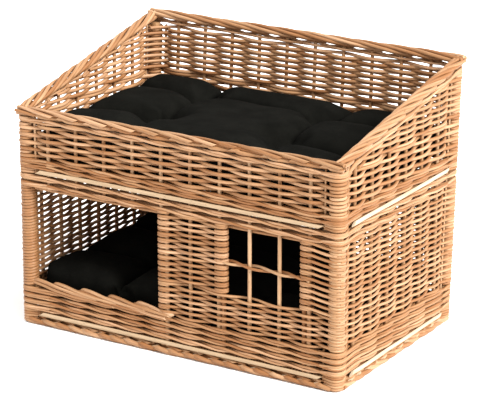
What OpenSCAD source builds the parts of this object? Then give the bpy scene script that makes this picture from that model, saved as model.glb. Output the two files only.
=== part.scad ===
// Two-storey willow pet basket: a woven sleeping house with a cushioned tray for a roof.
// Each woven wall is a flat band, cut round the stakes, posts and sticks that it is woven on.
// +X is the object's right seen from the front, the front faces -Y, and z = 0 is the ground.

/* [Body] */
// Width over the woven side walls
body_w = 600; // [590:5:620]
// Depth over the front and back walls, at the foot
body_d = 380; // [370:5:400]
// Height of the low front wall
front_h = 368; // [362:1:380]
// Height of the high back wall
back_h = 446; // [440:1:455]
// How far the top of the back wall leans back
back_lean = 25; // [15:1:30]
// Height of the middle of the upper floor
shelf_z = 263.5; // [260:0.5:266]

/* [Willow] */
// Thickness of a woven wall
wall_t = 16; // [15:0.5:17]
// Diameter of a stake
stake_d = 6.4; // [5:0.2:7]
// Diameter of a corner post
post_d = 18; // [16:0.5:18]
// Thickness of the skein wound round the front posts
wrap_t = 3.5; // [2:0.5:4]
// Height of a flat edge stick
stick_h = 9; // [8:0.5:9]
// Diameter of a stick inside a floor
floor_stick_d = 6; // [5:0.5:6]
// Stakes along each side
side_stakes = 6; // [4:1:7]
// Room left in the weave round each stake and post
snug = 0.1; // [0.05:0.05:0.3]

/* [Borders] */
// Height of the rolled border along the top
rim_h = 14; // [12:1:15]
// Height of the plaited border along the foot
foot_h = 15; // [12:1:16]
// How far a border stands proud of the wall
proud = 3; // [1:0.5:4]
// Height of the heavy three-rod rows above the lower floor
base_wale_h = 41; // [38:1:44]
// Height of the heavy rows above the upper floor
shelf_wale_h = 17; // [14:1:18]
// Height of the heavy rows over the doorway
header_h = 21; // [19:0.5:22]
// Height of the heavy rows under the rim
rim_wale_h = 11; // [8:1:12]

/* [Door and window] */
// Height of the bent-over border on the doorway's sill
sill_border_h = 14; // [10:1:14]
// Middle of the double stake beside the doorway
door_jamb_x = -21; // [-24:1:-18]
// Bottom of the window
window_z = 122; // [115:1:130]
// Middle of the double stake left of the window
window_left_x = 84; // [82:1:86]
// Middle of the double stake right of the window
window_right_x = 237.5; // [235:0.5:239]
// Height of the window's crossbar
crossbar_z = 175; // [168:1:182]
// Diameter of one stake of a double stake
jamb_d = 8; // [7:0.5:8]
// Diameter of one rod of the crossbar
crossbar_d = 5; // [4:0.5:5]

/* [Cushions] */
// Thickness of a cushion
cushion_h = 85; // [70:5:90]
// Room between a cushion and the outside of the walls
cushion_inset = 22; // [21:1:30]
// Radius of a cushion's corners
cushion_r = 40; // [30:5:60]
// Thickness of a cover's cloth
cloth_t = 1.5; // [1:0.5:2]
// Diameter of a tuft tie
tie_d = 4; // [3:0.5:5]
// Spacing of the tuft ties along a cushion
tie_pitch_x = 220; // [180:10:260]
// Spacing of the tuft ties across a cushion
tie_pitch_y = 130; // [110:10:160]

/* [Hidden] */
$fn = 48;
skin_color = "burlywood";
peeled_color = "moccasin";
core_color = "peru";
cloth_color = "#222222";

lean = atan(back_lean / back_h);
// the origin is the middle of the whole outline, whose rear is the leaning back rim
front_y = -(body_d + back_lean * (back_h - rim_h / 2) / back_h) / 2;
half_w = body_w / 2;
function back_y(z) = front_y + body_d + back_lean * z / back_h;
top_y = back_y(back_h);
rise = atan((back_h - front_h) / (top_y - front_y));
function side_top(y) = front_h + tan(rise) * (y - front_y);
rim_drop = rim_h / cos(rise);
function under_rim(y) = side_top(y) - rim_drop;

long_stakes = 10;
sleeve_r = post_d / 2 + 4.5;
post_x = half_w - sleeve_r;
wrap_r = post_d / 2 + wrap_t;
mid = wall_t / 2;
stake_x0 = 58;
stake_pitch = (body_w - 2 * stake_x0) / (long_stakes - 1);
function stake_x(i) = -half_w + stake_x0 + i * stake_pitch;
side_pitch = (body_d - 108) / (side_stakes - 1);
function side_stake_y(i) = front_y + body_d / 2 + (i - (side_stakes - 1) / 2) * side_pitch;

// levels, from the ground up
base_z = foot_h;
base_top = base_z + stick_h;
lower_z = base_top + base_wale_h;
shelf_bottom = shelf_z - stick_h / 2;
header_z = shelf_bottom - header_h;
shelf_top = shelf_z + stick_h / 2;
upper_z = shelf_top + shelf_wale_h;
rim_wale_z = front_h - rim_h - rim_wale_h;
front_under = front_h - rim_h;
back_under = back_h - rim_h;

// sides of the openings
door_x0 = -post_x + wrap_r;
door_x1 = door_jamb_x - jamb_d - 1;
window_x0 = window_left_x + jamb_d + 0.5;
window_x1 = window_right_x - jamb_d - 1;
strip_x1 = post_x - wrap_r;
SILL_STAKES = [0, 1, 2, 3];
PANEL_STAKE = 5;
WINDOW_STAKES = [7, 8];
OTHER_STAKES = [4, 6, 9];

cushion_w = body_w - 2 * cushion_inset;
function cushion_d(z) = back_y(z) - front_y - 2 * cushion_inset;
cushion_lift = 0.5;

// ---- shared shapes ----

// extrudes an outline drawn in (y, z) along X
module along_x(x0, x1) {
    translate([x0, 0, 0]) rotate([90, 0, 90]) linear_extrude(x1 - x0) children();
}

// extrudes an outline drawn in (x, z) along Y
module along_y(y0, y1) {
    translate([0, y1, 0]) rotate([90, 0, 0]) linear_extrude(y1 - y0) children();
}

// flat bar outline with round edges, lying down
module roll_outline(w, h) {
    square([w - h, h], center = true);
    for (s = [-1, 1]) translate([s * (w - h) / 2, 0]) circle(d = h);
}

// half-round stick outline, bulging towards -x
module half_round(d) {
    intersection() {
        circle(d = d);
        translate([-d, -d / 2]) square([d, d]);
    }
}

// upright rod through the front wall's middle
module front_rod(x, z0, z1, d) {
    translate([x, front_y + mid, z0]) cylinder(d = d, h = z1 - z0);
}

// rod through the leaning back wall's middle
module back_rod(x, inset, z0, z1, d) {
    translate([x, back_y(0) - inset, 0]) rotate([-lean, 0, 0])
        translate([0, 0, z0 / cos(lean)]) cylinder(d = d, h = (z1 - z0) / cos(lean));
}

// level slice, wider than the object
module slice(z0, z1) {
    translate([-body_w, -body_w, z0]) cube([2 * body_w, 2 * body_w, z1 - z0]);
}

// ---- posts ----

module front_post(side, d = post_d, z0 = base_z, z1 = front_under) {
    translate([side * post_x, front_y + sleeve_r, z0]) cylinder(d = d, h = z1 - z0);
}

module back_post(side, d = post_d, z0 = base_z + 1, z1 = back_under - 7) {
    back_rod(side * post_x, sleeve_r, z0, z1, d);
}

// clearance for every post
module post_room() {
    for (s = [-1, 1]) {
        front_post(s, post_d + 2 * snug);
        back_post(s, post_d + 2 * snug, 0, back_h);
    }
}

// skein wound round a front post, from the base rows to the header
module post_wrap(side) {
    difference() {
        front_post(side, 2 * wrap_r, lower_z, header_z);
        post_room();
    }
}

module post_front_left() color(core_color) front_post(-1);
module post_front_right() color(core_color) front_post(1);
module post_back_left() color(core_color) back_post(-1);
module post_back_right() color(core_color) back_post(1);
module post_wrap_left() color(skin_color) post_wrap(-1);
module post_wrap_right() color(skin_color) post_wrap(1);

// ---- stakes ----

module front_stake_rods(d) {
    for (i = SILL_STAKES) {
        front_rod(stake_x(i), base_z, lower_z, d);
        front_rod(stake_x(i), header_z, front_under, d);
    }
    front_rod(stake_x(PANEL_STAKE), base_z, front_under, d);
    for (i = OTHER_STAKES) front_rod(stake_x(i), header_z, front_under, d);
}

module window_bar_rods(d) {
    for (i = WINDOW_STAKES) front_rod(stake_x(i), base_z, front_under, d);
}

module back_stake_rods(d) {
    for (i = [0 : long_stakes - 1]) back_rod(stake_x(i), mid, base_z + 1, back_under - 1, d);
}

module side_stake_rods(side, d) {
    for (i = [0 : side_stakes - 1])
        translate([side * (half_w - mid), side_stake_y(i), base_z])
            cylinder(d = d, h = under_rim(side_stake_y(i) - stake_d / 2) - base_z);
}

// two stakes side by side
module double_stake(x, d, gap = 0.5) {
    for (s = [-1, 1]) front_rod(x + s * (jamb_d + gap) / 2, base_z, header_z, d);
}

// clearance for everything upright in the front wall
module front_room() {
    front_stake_rods(stake_d + 2 * snug);
    window_bar_rods(stake_d + 2 * snug);
    for (x = [door_jamb_x, window_left_x, window_right_x]) double_stake(x, jamb_d + 2 * snug);
}

// clearance for everything upright
module upright_room() {
    front_room();
    back_stake_rods(stake_d + 2 * snug);
    for (s = [-1, 1]) side_stake_rods(s, stake_d + 2 * snug);
    post_room();
}

module stakes_front() color(core_color) front_stake_rods(stake_d);
module stakes_back() color(core_color) back_stake_rods(stake_d);
module stakes_left() color(core_color) side_stake_rods(-1, stake_d);
module stakes_right() color(core_color) side_stake_rods(1, stake_d);
module window_bars() color(skin_color) window_bar_rods(stake_d);
module door_jamb() color(skin_color) double_stake(door_jamb_x, jamb_d);
module window_jamb_left() color(skin_color) double_stake(window_left_x, jamb_d);
module window_jamb_right() color(skin_color) double_stake(window_right_x, jamb_d);

// a pair of rods, one before and one behind the bars
module window_crossbar() color(skin_color)
    for (s = [-1, 1])
        translate([window_x0 + snug, front_y + mid + s * ((stake_d + crossbar_d) / 2 + snug), crossbar_z])
            rotate([0, 90, 0]) cylinder(d = crossbar_d, h = window_x1 - window_x0 - 2 * snug);

// ---- woven bands ----

// front wall between two heights; the rods turn round both posts
module front_band(z0, z1) {
    difference() {
        union() {
            translate([-post_x, front_y, z0]) cube([2 * post_x, wall_t, z1 - z0]);
            for (s = [-1, 1]) front_post(s, 2 * sleeve_r, z0, z1);
        }
        front_room();
        post_room();
    }
}

// part of the front wall between two uprights
module front_patch(x0, x1, z0, z1) {
    difference() {
        translate([x0, front_y, z0]) cube([x1 - x0, wall_t, z1 - z0]);
        front_room();
        for (s = [-1, 1]) front_post(s, 2 * (wrap_r + snug), z0 - 1, z1 + 1);
    }
}

// leaning back wall between two heights
module back_band(z0, z1) {
    difference() {
        union() {
            along_x(-post_x, post_x) polygon([
                [back_y(z0) - wall_t, z0], [back_y(z0), z0], [back_y(z1), z1], [back_y(z1) - wall_t, z1]]);
            intersection() {
                for (s = [-1, 1]) back_post(s, 2 * sleeve_r, 0, back_h);
                slice(z0, z1);
            }
        }
        back_stake_rods(stake_d + 2 * snug);
        post_room();
    }
}

// side wall between the corner turns, with its top and bottom edges given at the front and the back
module side_band(side, front_z0, front_z1, back_z0, back_z1) {
    y0 = front_y + sleeve_r;
    difference() {
        translate([side * (half_w - mid), 0, 0]) along_x(-mid, mid) polygon([
            [y0, front_z0], [back_y(back_z0) - sleeve_r, back_z0],
            [back_y(back_z1) - sleeve_r, back_z1], [y0, front_z1]]);
        side_stake_rods(side, stake_d + 2 * snug);
        front_post(side, 2 * (sleeve_r + snug), 0, back_h);
        back_post(side, 2 * (sleeve_r + snug), 0, back_h);
    }
}

// height of the sloping wale's underside at the two ends of a side wall
slope_front = under_rim(front_y + sleeve_r);
slope_back = under_rim(top_y - sleeve_r);

// rows that run right round the basket at one level
module round_band(z0, z1) {
    front_band(z0, z1);
    back_band(z0, z1);
    for (s = [-1, 1]) side_band(s, z0, z1, z0, z1);
}

module base_wale() color(skin_color) round_band(base_top, lower_z);
module header_wale() color(skin_color) round_band(header_z, shelf_bottom);
module shelf_wale() color(skin_color) round_band(shelf_top, upper_z);
module rim_wale() color(skin_color) {
    difference() {
        union() {
            front_band(rim_wale_z, front_under);
            back_band(back_under - rim_wale_h, back_under);
            for (s = [-1, 1]) side_band(s, slope_front - rim_wale_h, slope_front,
                                        slope_back - rim_wale_h, slope_back);
        }
        slope_room();
    }
}

module door_panel_weave() color(skin_color) front_patch(door_x1, window_x0, lower_z, header_z);
module window_sill_weave() color(skin_color) front_patch(window_x0, window_x1, lower_z, window_z);
module window_side_weave() color(skin_color) front_patch(window_x1, strip_x1 + 2, lower_z, header_z);
module front_upper_weave() color(skin_color) front_band(upper_z, rim_wale_z);
module back_lower_weave() color(skin_color) back_band(lower_z, header_z);
module back_upper_weave() color(skin_color) back_band(upper_z, back_under - rim_wale_h);
module side_lower(side) side_band(side, lower_z, header_z, lower_z, header_z);
module side_upper(side)
    side_band(side, upper_z, slope_front - rim_wale_h, upper_z, slope_back - rim_wale_h);
module left_lower_weave() color(skin_color) side_lower(-1);
module right_lower_weave() color(skin_color) side_lower(1);
module left_upper_weave() color(skin_color) side_upper(-1);
module right_upper_weave() color(skin_color) side_upper(1);

// ---- floors ----

module floor_stick_rods(z, d, room = 0) {
    half_l = half_w - mid - stake_d / 2 - 4 + room;
    for (i = [0 : side_stakes - 1])
        translate([-half_l, side_stake_y(i), z]) rotate([0, 90, 0]) cylinder(d = d, h = 2 * half_l);
}

// woven floor whose edges lie among the wall stakes
module woven_floor(z) {
    y0 = front_y + mid;
    difference() {
        translate([-half_w + mid, y0, z - stick_h / 2])
            cube([body_w - wall_t, back_y(z) - mid - y0, stick_h]);
        floor_stick_rods(z, floor_stick_d + 2 * snug, snug);
        upright_room();
    }
}

// flat sticks along the four edges of a floor, ending short of the posts
stick_out = 0.5;
long_stick_x0 = -260;
long_stick_x1 = 264;
side_stick_gap = 42;
module long_stick(z, back) {
    y = back ? back_y(z - stick_h / 2) + stick_out : front_y - stick_out;
    translate([0, y + (back ? -1 : 1) * stick_h / 2, z]) mirror([0, back ? 1 : 0, 0])
        along_x(long_stick_x0, long_stick_x1) half_round(stick_h);
}
module side_stick(z, side) {
    y0 = front_y + side_stick_gap;
    mirror([side > 0 ? 1 : 0, 0, 0]) translate([-half_w - stick_out + stick_h / 2, 0, z])
        along_y(y0, back_y(z) - side_stick_gap) half_round(stick_h);
}

base_mid = base_z + stick_h / 2;
module base_floor_sticks() color(core_color) floor_stick_rods(base_mid, floor_stick_d);
module base_floor_weave() color(skin_color) woven_floor(base_mid);
module base_stick_front() color(peeled_color) long_stick(base_mid, false);
module base_stick_back() color(peeled_color) long_stick(base_mid, true);
module base_stick_left() color(peeled_color) side_stick(base_mid, -1);
module base_stick_right() color(peeled_color) side_stick(base_mid, 1);
module upper_floor_sticks() color(core_color) floor_stick_rods(shelf_z, floor_stick_d);
module upper_floor_weave() color(skin_color) woven_floor(shelf_z);
module upper_stick_front() color(peeled_color) long_stick(shelf_z, false);
module upper_stick_back() color(peeled_color) long_stick(shelf_z, true);
module upper_stick_left() color(peeled_color) side_stick(shelf_z, -1);
module upper_stick_right() color(peeled_color) side_stick(shelf_z, 1);

// ---- borders ----

rim_w = wall_t + 2 * proud;
foot_w = wall_t + 2 * proud;
end_gap = 0.5;

// front or back border, centred on its wall
module long_border(y, z, w, h) {
    translate([0, y, z]) along_x(-half_w - proud, half_w + proud) roll_outline(w, h);
}

module foot_side(side) {
    translate([side * (half_w - mid), 0, foot_h / 2])
        along_y(front_y + mid + foot_w / 2 + end_gap, back_y(0) - mid - foot_w / 2 - end_gap)
            roll_outline(foot_w, foot_h);
}

// the sloping borders run between these, clear of the front and the back border
slope_tilt = rim_h / 2 * sin(rise);
slope_y0 = front_y + mid + rim_w / 2 + end_gap + slope_tilt;
slope_y1 = back_y(back_h - rim_h / 2) - mid - rim_w / 2 - end_gap - slope_tilt;
module rim_side(side) {
    translate([side * (half_w - mid), slope_y0, side_top(slope_y0) - rim_drop / 2])
        rotate([rise, 0, 0])
            along_y(0, (slope_y1 - slope_y0) / cos(rise)) roll_outline(rim_w, rim_h);
}

// clearance for both sloping borders
module slope_room() {
    y0 = slope_y0 - 2 * slope_tilt;
    y1 = slope_y1 + 2 * slope_tilt;
    for (s = [-1, 1]) translate([s * (half_w - mid), 0, 0])
        along_x(-rim_w / 2 - end_gap, rim_w / 2 + end_gap) polygon([
            [y0, under_rim(y0) - snug], [y1, under_rim(y1) - snug], [y1, back_h], [y0, back_h]]);
}

module foot_border_front() color(skin_color) long_border(front_y + mid, foot_h / 2, foot_w, foot_h);
module foot_border_back() color(skin_color) long_border(back_y(0) - mid, foot_h / 2, foot_w, foot_h);
module foot_border_left() color(skin_color) foot_side(-1);
module foot_border_right() color(skin_color) foot_side(1);
module rim_border_front() color(skin_color)
    long_border(front_y + mid, front_h - rim_h / 2, rim_w, rim_h);
module rim_border_back() color(skin_color)
    long_border(back_y(back_h - rim_h / 2) - mid, back_h - rim_h / 2, rim_w, rim_h);
module rim_border_left() color(skin_color) rim_side(-1);
module rim_border_right() color(skin_color) rim_side(1);

// stakes bent over along the top of the door sill
module door_sill_border() color(skin_color) {
    difference() {
        translate([0, front_y + mid, lower_z + sill_border_h / 2])
            along_x(door_x0 - 2, door_x1) roll_outline(wall_t, sill_border_h);
        front_post(-1, 2 * (wrap_r + snug), lower_z, header_z);
    }
}

// ---- cushions ----

// box with rounded upright corners
module rounded_slab(w, d, h, r) {
    translate([-w / 2 + r, -d / 2, 0]) cube([w - 2 * r, d, h]);
    translate([-w / 2, -d / 2 + r, 0]) cube([w, d - 2 * r, h]);
    for (sx = [-1, 1], sy = [-1, 1])
        translate([sx * (w / 2 - r), sy * (d / 2 - r), 0]) cylinder(r = r, h = h);
}

module tie_rods(d) {
    for (sx = [-1, 1], sy = [-1, 1])
        translate([sx * tie_pitch_x / 2, sy * tie_pitch_y / 2, 0]) cylinder(d = d, h = cushion_h);
}

// places a cushion's parts on the floor at z, midway between the front and back walls there
module on_floor(z) {
    translate([0, (front_y + back_y(z)) / 2, z + cushion_lift]) children();
}

module inside(d) {
    translate([0, 0, cloth_t])
        rounded_slab(cushion_w - 2 * cloth_t, d - 2 * cloth_t, cushion_h - 2 * cloth_t,
                     cushion_r - cloth_t);
}

// filling of a cushion of depth d
module padding(d) {
    difference() {
        inside(d);
        tie_rods(tie_d + 2 * snug);
    }
}

// sewn cover of a cushion of depth d
module cover(d) {
    difference() {
        rounded_slab(cushion_w, d, cushion_h, cushion_r);
        inside(d);
        tie_rods(tie_d + 2 * snug);
    }
}

module lower_cushion_cover() color(cloth_color) on_floor(base_top) cover(cushion_d(base_top));
module lower_cushion_filling() color("whitesmoke") on_floor(base_top) padding(cushion_d(base_top));
module lower_cushion_ties() color(cloth_color) on_floor(base_top) tie_rods(tie_d);
module top_cushion_cover() color(cloth_color) on_floor(shelf_top) cover(cushion_d(shelf_top));
module top_cushion_filling() color("whitesmoke") on_floor(shelf_top) padding(cushion_d(shelf_top));
module top_cushion_ties() color(cloth_color) on_floor(shelf_top) tie_rods(tie_d);

post_front_left();
post_front_right();
post_back_left();
post_back_right();
post_wrap_left();
post_wrap_right();
base_floor_sticks();
base_floor_weave();
base_stick_front();
base_stick_back();
base_stick_left();
base_stick_right();
upper_floor_sticks();
upper_floor_weave();
upper_stick_front();
upper_stick_back();
upper_stick_left();
upper_stick_right();
stakes_front();
stakes_back();
stakes_left();
stakes_right();
foot_border_front();
foot_border_back();
foot_border_left();
foot_border_right();
base_wale();
header_wale();
shelf_wale();
rim_wale();
door_panel_weave();
window_sill_weave();
window_side_weave();
front_upper_weave();
back_lower_weave();
back_upper_weave();
left_lower_weave();
left_upper_weave();
right_lower_weave();
right_upper_weave();
door_sill_border();
door_jamb();
window_jamb_left();
window_jamb_right();
window_bars();
window_crossbar();
rim_border_front();
rim_border_back();
rim_border_left();
rim_border_right();
lower_cushion_cover();
lower_cushion_filling();
lower_cushion_ties();
top_cushion_cover();
top_cushion_filling();
top_cushion_ties();
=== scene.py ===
# %% [markdown]
# # A two-storey willow pet basket
#
# This lesson dresses a plain CAD model in woven willow. The real basket is made of round rods, each one
# bent in and out of upright stakes. The CAD model has one smooth band where each woven wall is. Here every
# rod is made again as a thin tube that follows its true path, so light falls through the weave as it does
# through the real one. The CAD model loads first and never moves: every length below is read from it.

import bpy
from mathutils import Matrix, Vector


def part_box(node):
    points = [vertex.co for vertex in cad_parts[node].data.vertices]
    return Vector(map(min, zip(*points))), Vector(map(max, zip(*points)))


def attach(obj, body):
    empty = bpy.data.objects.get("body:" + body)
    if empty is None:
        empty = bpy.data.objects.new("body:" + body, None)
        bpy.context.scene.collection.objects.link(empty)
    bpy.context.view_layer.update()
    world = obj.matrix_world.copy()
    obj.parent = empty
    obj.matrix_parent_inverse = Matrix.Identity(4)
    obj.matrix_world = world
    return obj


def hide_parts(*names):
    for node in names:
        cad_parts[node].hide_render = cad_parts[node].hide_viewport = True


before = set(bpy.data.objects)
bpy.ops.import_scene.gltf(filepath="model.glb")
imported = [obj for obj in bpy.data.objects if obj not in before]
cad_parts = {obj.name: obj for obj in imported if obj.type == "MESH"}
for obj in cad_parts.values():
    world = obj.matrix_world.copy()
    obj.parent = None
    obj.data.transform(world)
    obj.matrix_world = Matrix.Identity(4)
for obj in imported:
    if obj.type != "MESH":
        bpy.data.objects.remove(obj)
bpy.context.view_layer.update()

# %% [markdown]
# ## Measuring the CAD parts
#
# Every length in this lesson comes from the CAD model, in metres. Each CAD part is a node with a box round
# it, and three small functions give the box's lowest corner, its highest corner and its middle. Typing the
# sizes in again would work too, but sizes that are read can't drift away from the model.

# %% Measuring helpers
from math import cos, pi, sin

import bpy
import numpy as np

MM = 0.001
body = "basket"


def low(node):
    return np.array(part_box(node)[0])


def high(node):
    return np.array(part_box(node)[1])


def middle(node):
    return (low(node) + high(node)) / 2


print("front post stands at", middle("post_front_right").round(4))

# %% [markdown]
# ## Levels and thicknesses
#
# A weaver works from levels: where the foot ends, where each floor lies, and how high the rim is. They are
# read once here and kept under short names, because asking for a box again and again would make the script
# slow.

# %% Levels and thicknesses
half_w = high("front_upper_weave")[0]
front_y = low("front_upper_weave")[1]
base_top, lower_z = low("base_wale")[2], high("base_wale")[2]
header_z, shelf_bottom = low("header_wale")[2], high("header_wale")[2]
shelf_top, upper_z = low("shelf_wale")[2], high("shelf_wale")[2]
rim_wale_z, front_under = high("front_upper_weave")[2], low("rim_border_front")[2]
front_h, back_h = high("rim_border_front")[2], high("rim_border_back")[2]
rim_h = front_h - front_under
rim_wale_h = front_under - rim_wale_z
foot_h = high("foot_border_front")[2]
post_r = (high("post_front_right") - low("post_front_right"))[0] / 2
post = middle("post_front_right")
stake_r = (high("stakes_left") - low("stakes_left"))[0] / 2
wall_half = half_w + middle("stakes_left")[0]
back_wale_z = high("back_upper_weave")[2]
print("front", front_h, "back", back_h, "wall thickness", 2 * wall_half)

# %% [markdown]
# ## The leaning back and the rising sides
#
# The real back wall leans out a little, and the tray's sides rise toward it, so two measures aren't
# constant. Each becomes a function: the back's depth at a height, and the underside of the rim at a depth.
# A straight line through two corners of the CAD boxes gives both.

# %% Slopes
back_mid, back_top = high("back_lower_weave"), high("back_upper_weave")
lean = (back_top - back_mid)[1] / (back_top - back_mid)[2]


def back_y(z):
    return back_mid[1] + lean * (z - back_mid[2])


rise = (back_h - front_h) / (back_y(back_h) - front_y)
rim_drop = rim_h * (1 + rise * rise) ** 0.5


def under_rim(y):
    return front_h + rise * (y - front_y) - rim_drop


print("the back leans by", round(lean, 4), "and the rim rises by", round(rise, 4))

# %% [markdown]
# ## Where the uprights stand
#
# Ten stakes stand along the front and the back, and six along each side. A row is worked round them in
# one direction, so the walls are listed in the order in which a rod meets them: front, right, back, left.

# %% Where the stakes stand
long_stakes = 10
side_stakes = 6
stake_x = np.linspace(low("stakes_back")[0] + stake_r, high("stakes_back")[0] - stake_r, long_stakes)
stake_y = np.linspace(low("stakes_right")[1] + stake_r, high("stakes_right")[1] - stake_r, side_stakes)
print("stakes at x", stake_x.round(3), "and at y", stake_y.round(3))

# %% [markdown]
# ## Which way is out
#
# A rod passes before or behind a stake, and before means toward the outside of that wall. Each wall gets an
# outward direction and the direction in which a rod runs along it. With these two arrows one function can
# weave all four walls.

# %% Directions of the walls
outward = {"front": (0, -1, 0), "right": (1, 0, 0), "back": (0, 1, 0), "left": (-1, 0, 0)}
outward = {wall: np.array(way, float) for wall, way in outward.items()}
along = {"front": (1, 0, 0), "right": (0, 1, 0), "back": (-1, 0, 0), "left": (0, -1, 0)}
along = {wall: np.array(way, float) for wall, way in along.items()}
all_walls = ["front", "right", "back", "left"]
print("a rod runs along the walls in this order:", all_walls)

# %% [markdown]
# ## Finding a stake or a post
#
# The rows need the middle of each stake at their own height, because the back stakes lean with their wall.
# The corner posts are uprights too, and the back pair leans in the same way.

# %% Places of stakes and posts
def stakes_of(wall, z):
    """Middles of a wall's stakes at height z, in the order in which a rod meets them."""
    if wall == "front":
        return [np.array((x, front_y + wall_half, z)) for x in stake_x]
    if wall == "back":
        return [np.array((x, back_y(z) - wall_half, z)) for x in stake_x[::-1]]
    if wall == "right":
        return [np.array((half_w - wall_half, y, z)) for y in stake_y]
    return [np.array((wall_half - half_w, y, z)) for y in stake_y[::-1]]


def post_at(first, second, z):
    """Middle of the corner post between two walls."""
    side = 1 if "right" in (first, second) else -1
    to_wall = post[1] - front_y
    y = post[1] if "front" in (first, second) else back_y(z) - to_wall
    return np.array((side * post[0], y, z))


print("back right post at the rim", post_at("right", "back", back_h).round(4))

# %% [markdown]
# ## A little chance
#
# No two rods in a real basket lie quite alike, and perfect rows look like plastic. So the rods get small
# random shifts, tones and thicknesses. The random numbers start from a fixed seed, which makes them the
# same on every run.

# %% Chance and directions
dice = np.random.default_rng(11)


def unit(v):
    """A direction of length one."""
    return v / np.linalg.norm(v, axis=-1, keepdims=True)


def shake(size):
    """A small random shift."""
    return dice.normal(0, size / 2)


print("a diagonal of length one:", unit(np.array((1.0, 1.0, 0.0))).round(3))

# %% [markdown]
# ## One willow rod
#
# A rod is a long tube that follows a path. A curve object with a round bevel is the quick way to make one,
# but a mesh can carry extra facts on every point, which the willow finish needs. So a ring of points is
# placed round each point of the path. The first and last rings are pushed along the path by their height,
# which gives the slanted cut of a pruning knife.

# %% A tube along a path
def tube(path, radius, sides, up, deep, slant):
    """Rings of points round a path, and the angles of the points in a ring."""
    ahead = unit(np.gradient(path, axis=0))
    side = unit(np.cross(ahead, np.broadcast_to(np.array(up, float), path.shape)))
    over = np.cross(side, ahead)
    angle = np.arange(sides) * 2 * pi / sides
    radius = np.broadcast_to(radius, len(path))[:, None, None]
    ring = np.cos(angle)[:, None] * side[:, None] * deep + np.sin(angle)[:, None] * over[:, None]
    edge = min(4, len(path) // 2)
    fade = np.zeros(len(path))
    fade[:edge] = slant[0] * np.linspace(1, 0, edge, endpoint=False)
    fade[-edge:] = slant[1] * np.linspace(1, 0, edge, endpoint=False)[::-1]
    cut = fade[:, None, None] * radius * np.sin(angle)[:, None] * ahead[:, None]
    return path[:, None] + radius * ring + cut, angle


straight = np.linspace((0, 0, 0), (1, 0, 0), 5)
print("a test tube has rings and points", tube(straight, 3 * MM, 8, (0, 0, 1), 1, (0, 0))[0].shape[:2])

# %% [markdown]
# ## Faces between the rings
#
# Four neighbouring points make one face of the tube's skin. The two ends are closed by one flat face each.
# The end faces have points of their own, so that the skin can be shaded smooth while the cut stays sharp.

# %% Faces of a tube
def tube_faces(first, count, sides):
    """Corners of the skin's faces and of the two end faces. first is the number of the first point."""
    rings = first + np.arange(count - 1)[:, None] * sides
    here, beside = rings + np.arange(sides), rings + (np.arange(sides) + 1) % sides
    skin = np.stack([here, beside, beside + sides, here + sides], -1).reshape(-1, 4)
    end = first + count * sides + np.arange(sides)
    return skin, [end[::-1], end + sides]


print("a tube of five rings has", len(tube_faces(0, 5, 8)[0]), "skin faces")

# %% [markdown]
# ## From arrays to a mesh
#
# Blender can build a mesh from lists of points, but that is slow for half a million of them. Filling the
# mesh from whole arrays takes a moment. The facts about the rods go in as attributes of the points, and
# the material reads them by name.

# %% Filling a mesh
def filled_mesh(name, points, faces, caps, facts):
    """A mesh with smooth skin faces, flat end faces, and one attribute for each fact."""
    mesh = bpy.data.meshes.new(name)
    mesh.vertices.add(len(points))
    mesh.vertices.foreach_set("co", points.astype(np.float32).ravel())
    mesh.loops.add(faces.size + caps.size)
    mesh.loops.foreach_set("vertex_index", np.concatenate([faces.ravel(), caps.ravel()]).astype(np.int32))
    starts = np.concatenate([np.arange(len(faces)) * 4, faces.size + np.arange(len(caps)) * caps.shape[1]])
    mesh.polygons.add(len(starts))
    mesh.polygons.foreach_set("loop_start", starts.astype(np.int32))
    mesh.update(calc_edges=True)
    mesh.polygons.foreach_set("use_smooth", np.arange(len(starts)) < len(faces))
    for fact, values in facts.items():
        kind, field = ("FLOAT", "value") if values.ndim == 1 else ("FLOAT_VECTOR", "vector")
        layer = mesh.attributes.new(fact, kind, "POINT")
        layer.data.foreach_set(field, values.astype(np.float32).ravel())
    return mesh


print("meshes are filled from arrays")

# %% [markdown]
# ## A bundle of rods
#
# A basket has hundreds of rods, and hundreds of objects are slow to handle. The rods of one piece of work
# are gathered in a bundle that becomes one mesh. So that the rods still differ, each one gets a tone of its
# own, its grain (how far along and how far round a point is), and a mark on its cut ends.

# %% What a rod carries
def rod_facts(path, angle, sides, tone, ends):
    """Grain, tone and cut mark of every point of a rod, and the rod's length."""
    run = np.concatenate([[0], np.cumsum(np.linalg.norm(np.diff(path, axis=0), axis=1))])
    grain = np.zeros((len(path), sides, 3))
    grain[..., 0] = run[:, None] + dice.uniform(0, 40)
    grain[..., 1] = np.cos(angle)
    grain[..., 2] = np.sin(angle)
    total = (len(path) + 2) * sides
    tones = np.full(total, dice.uniform(0, 1) if tone is None else tone)
    cuts = np.repeat([0.0, *ends], [len(path) * sides, sides, sides])
    return {"grain": [grain.reshape(-1, 3), grain[0], grain[-1]], "tone": [tones], "cut": [cuts]}, run[-1]


print("every point of a rod carries its grain, its tone and its cut mark")
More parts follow.
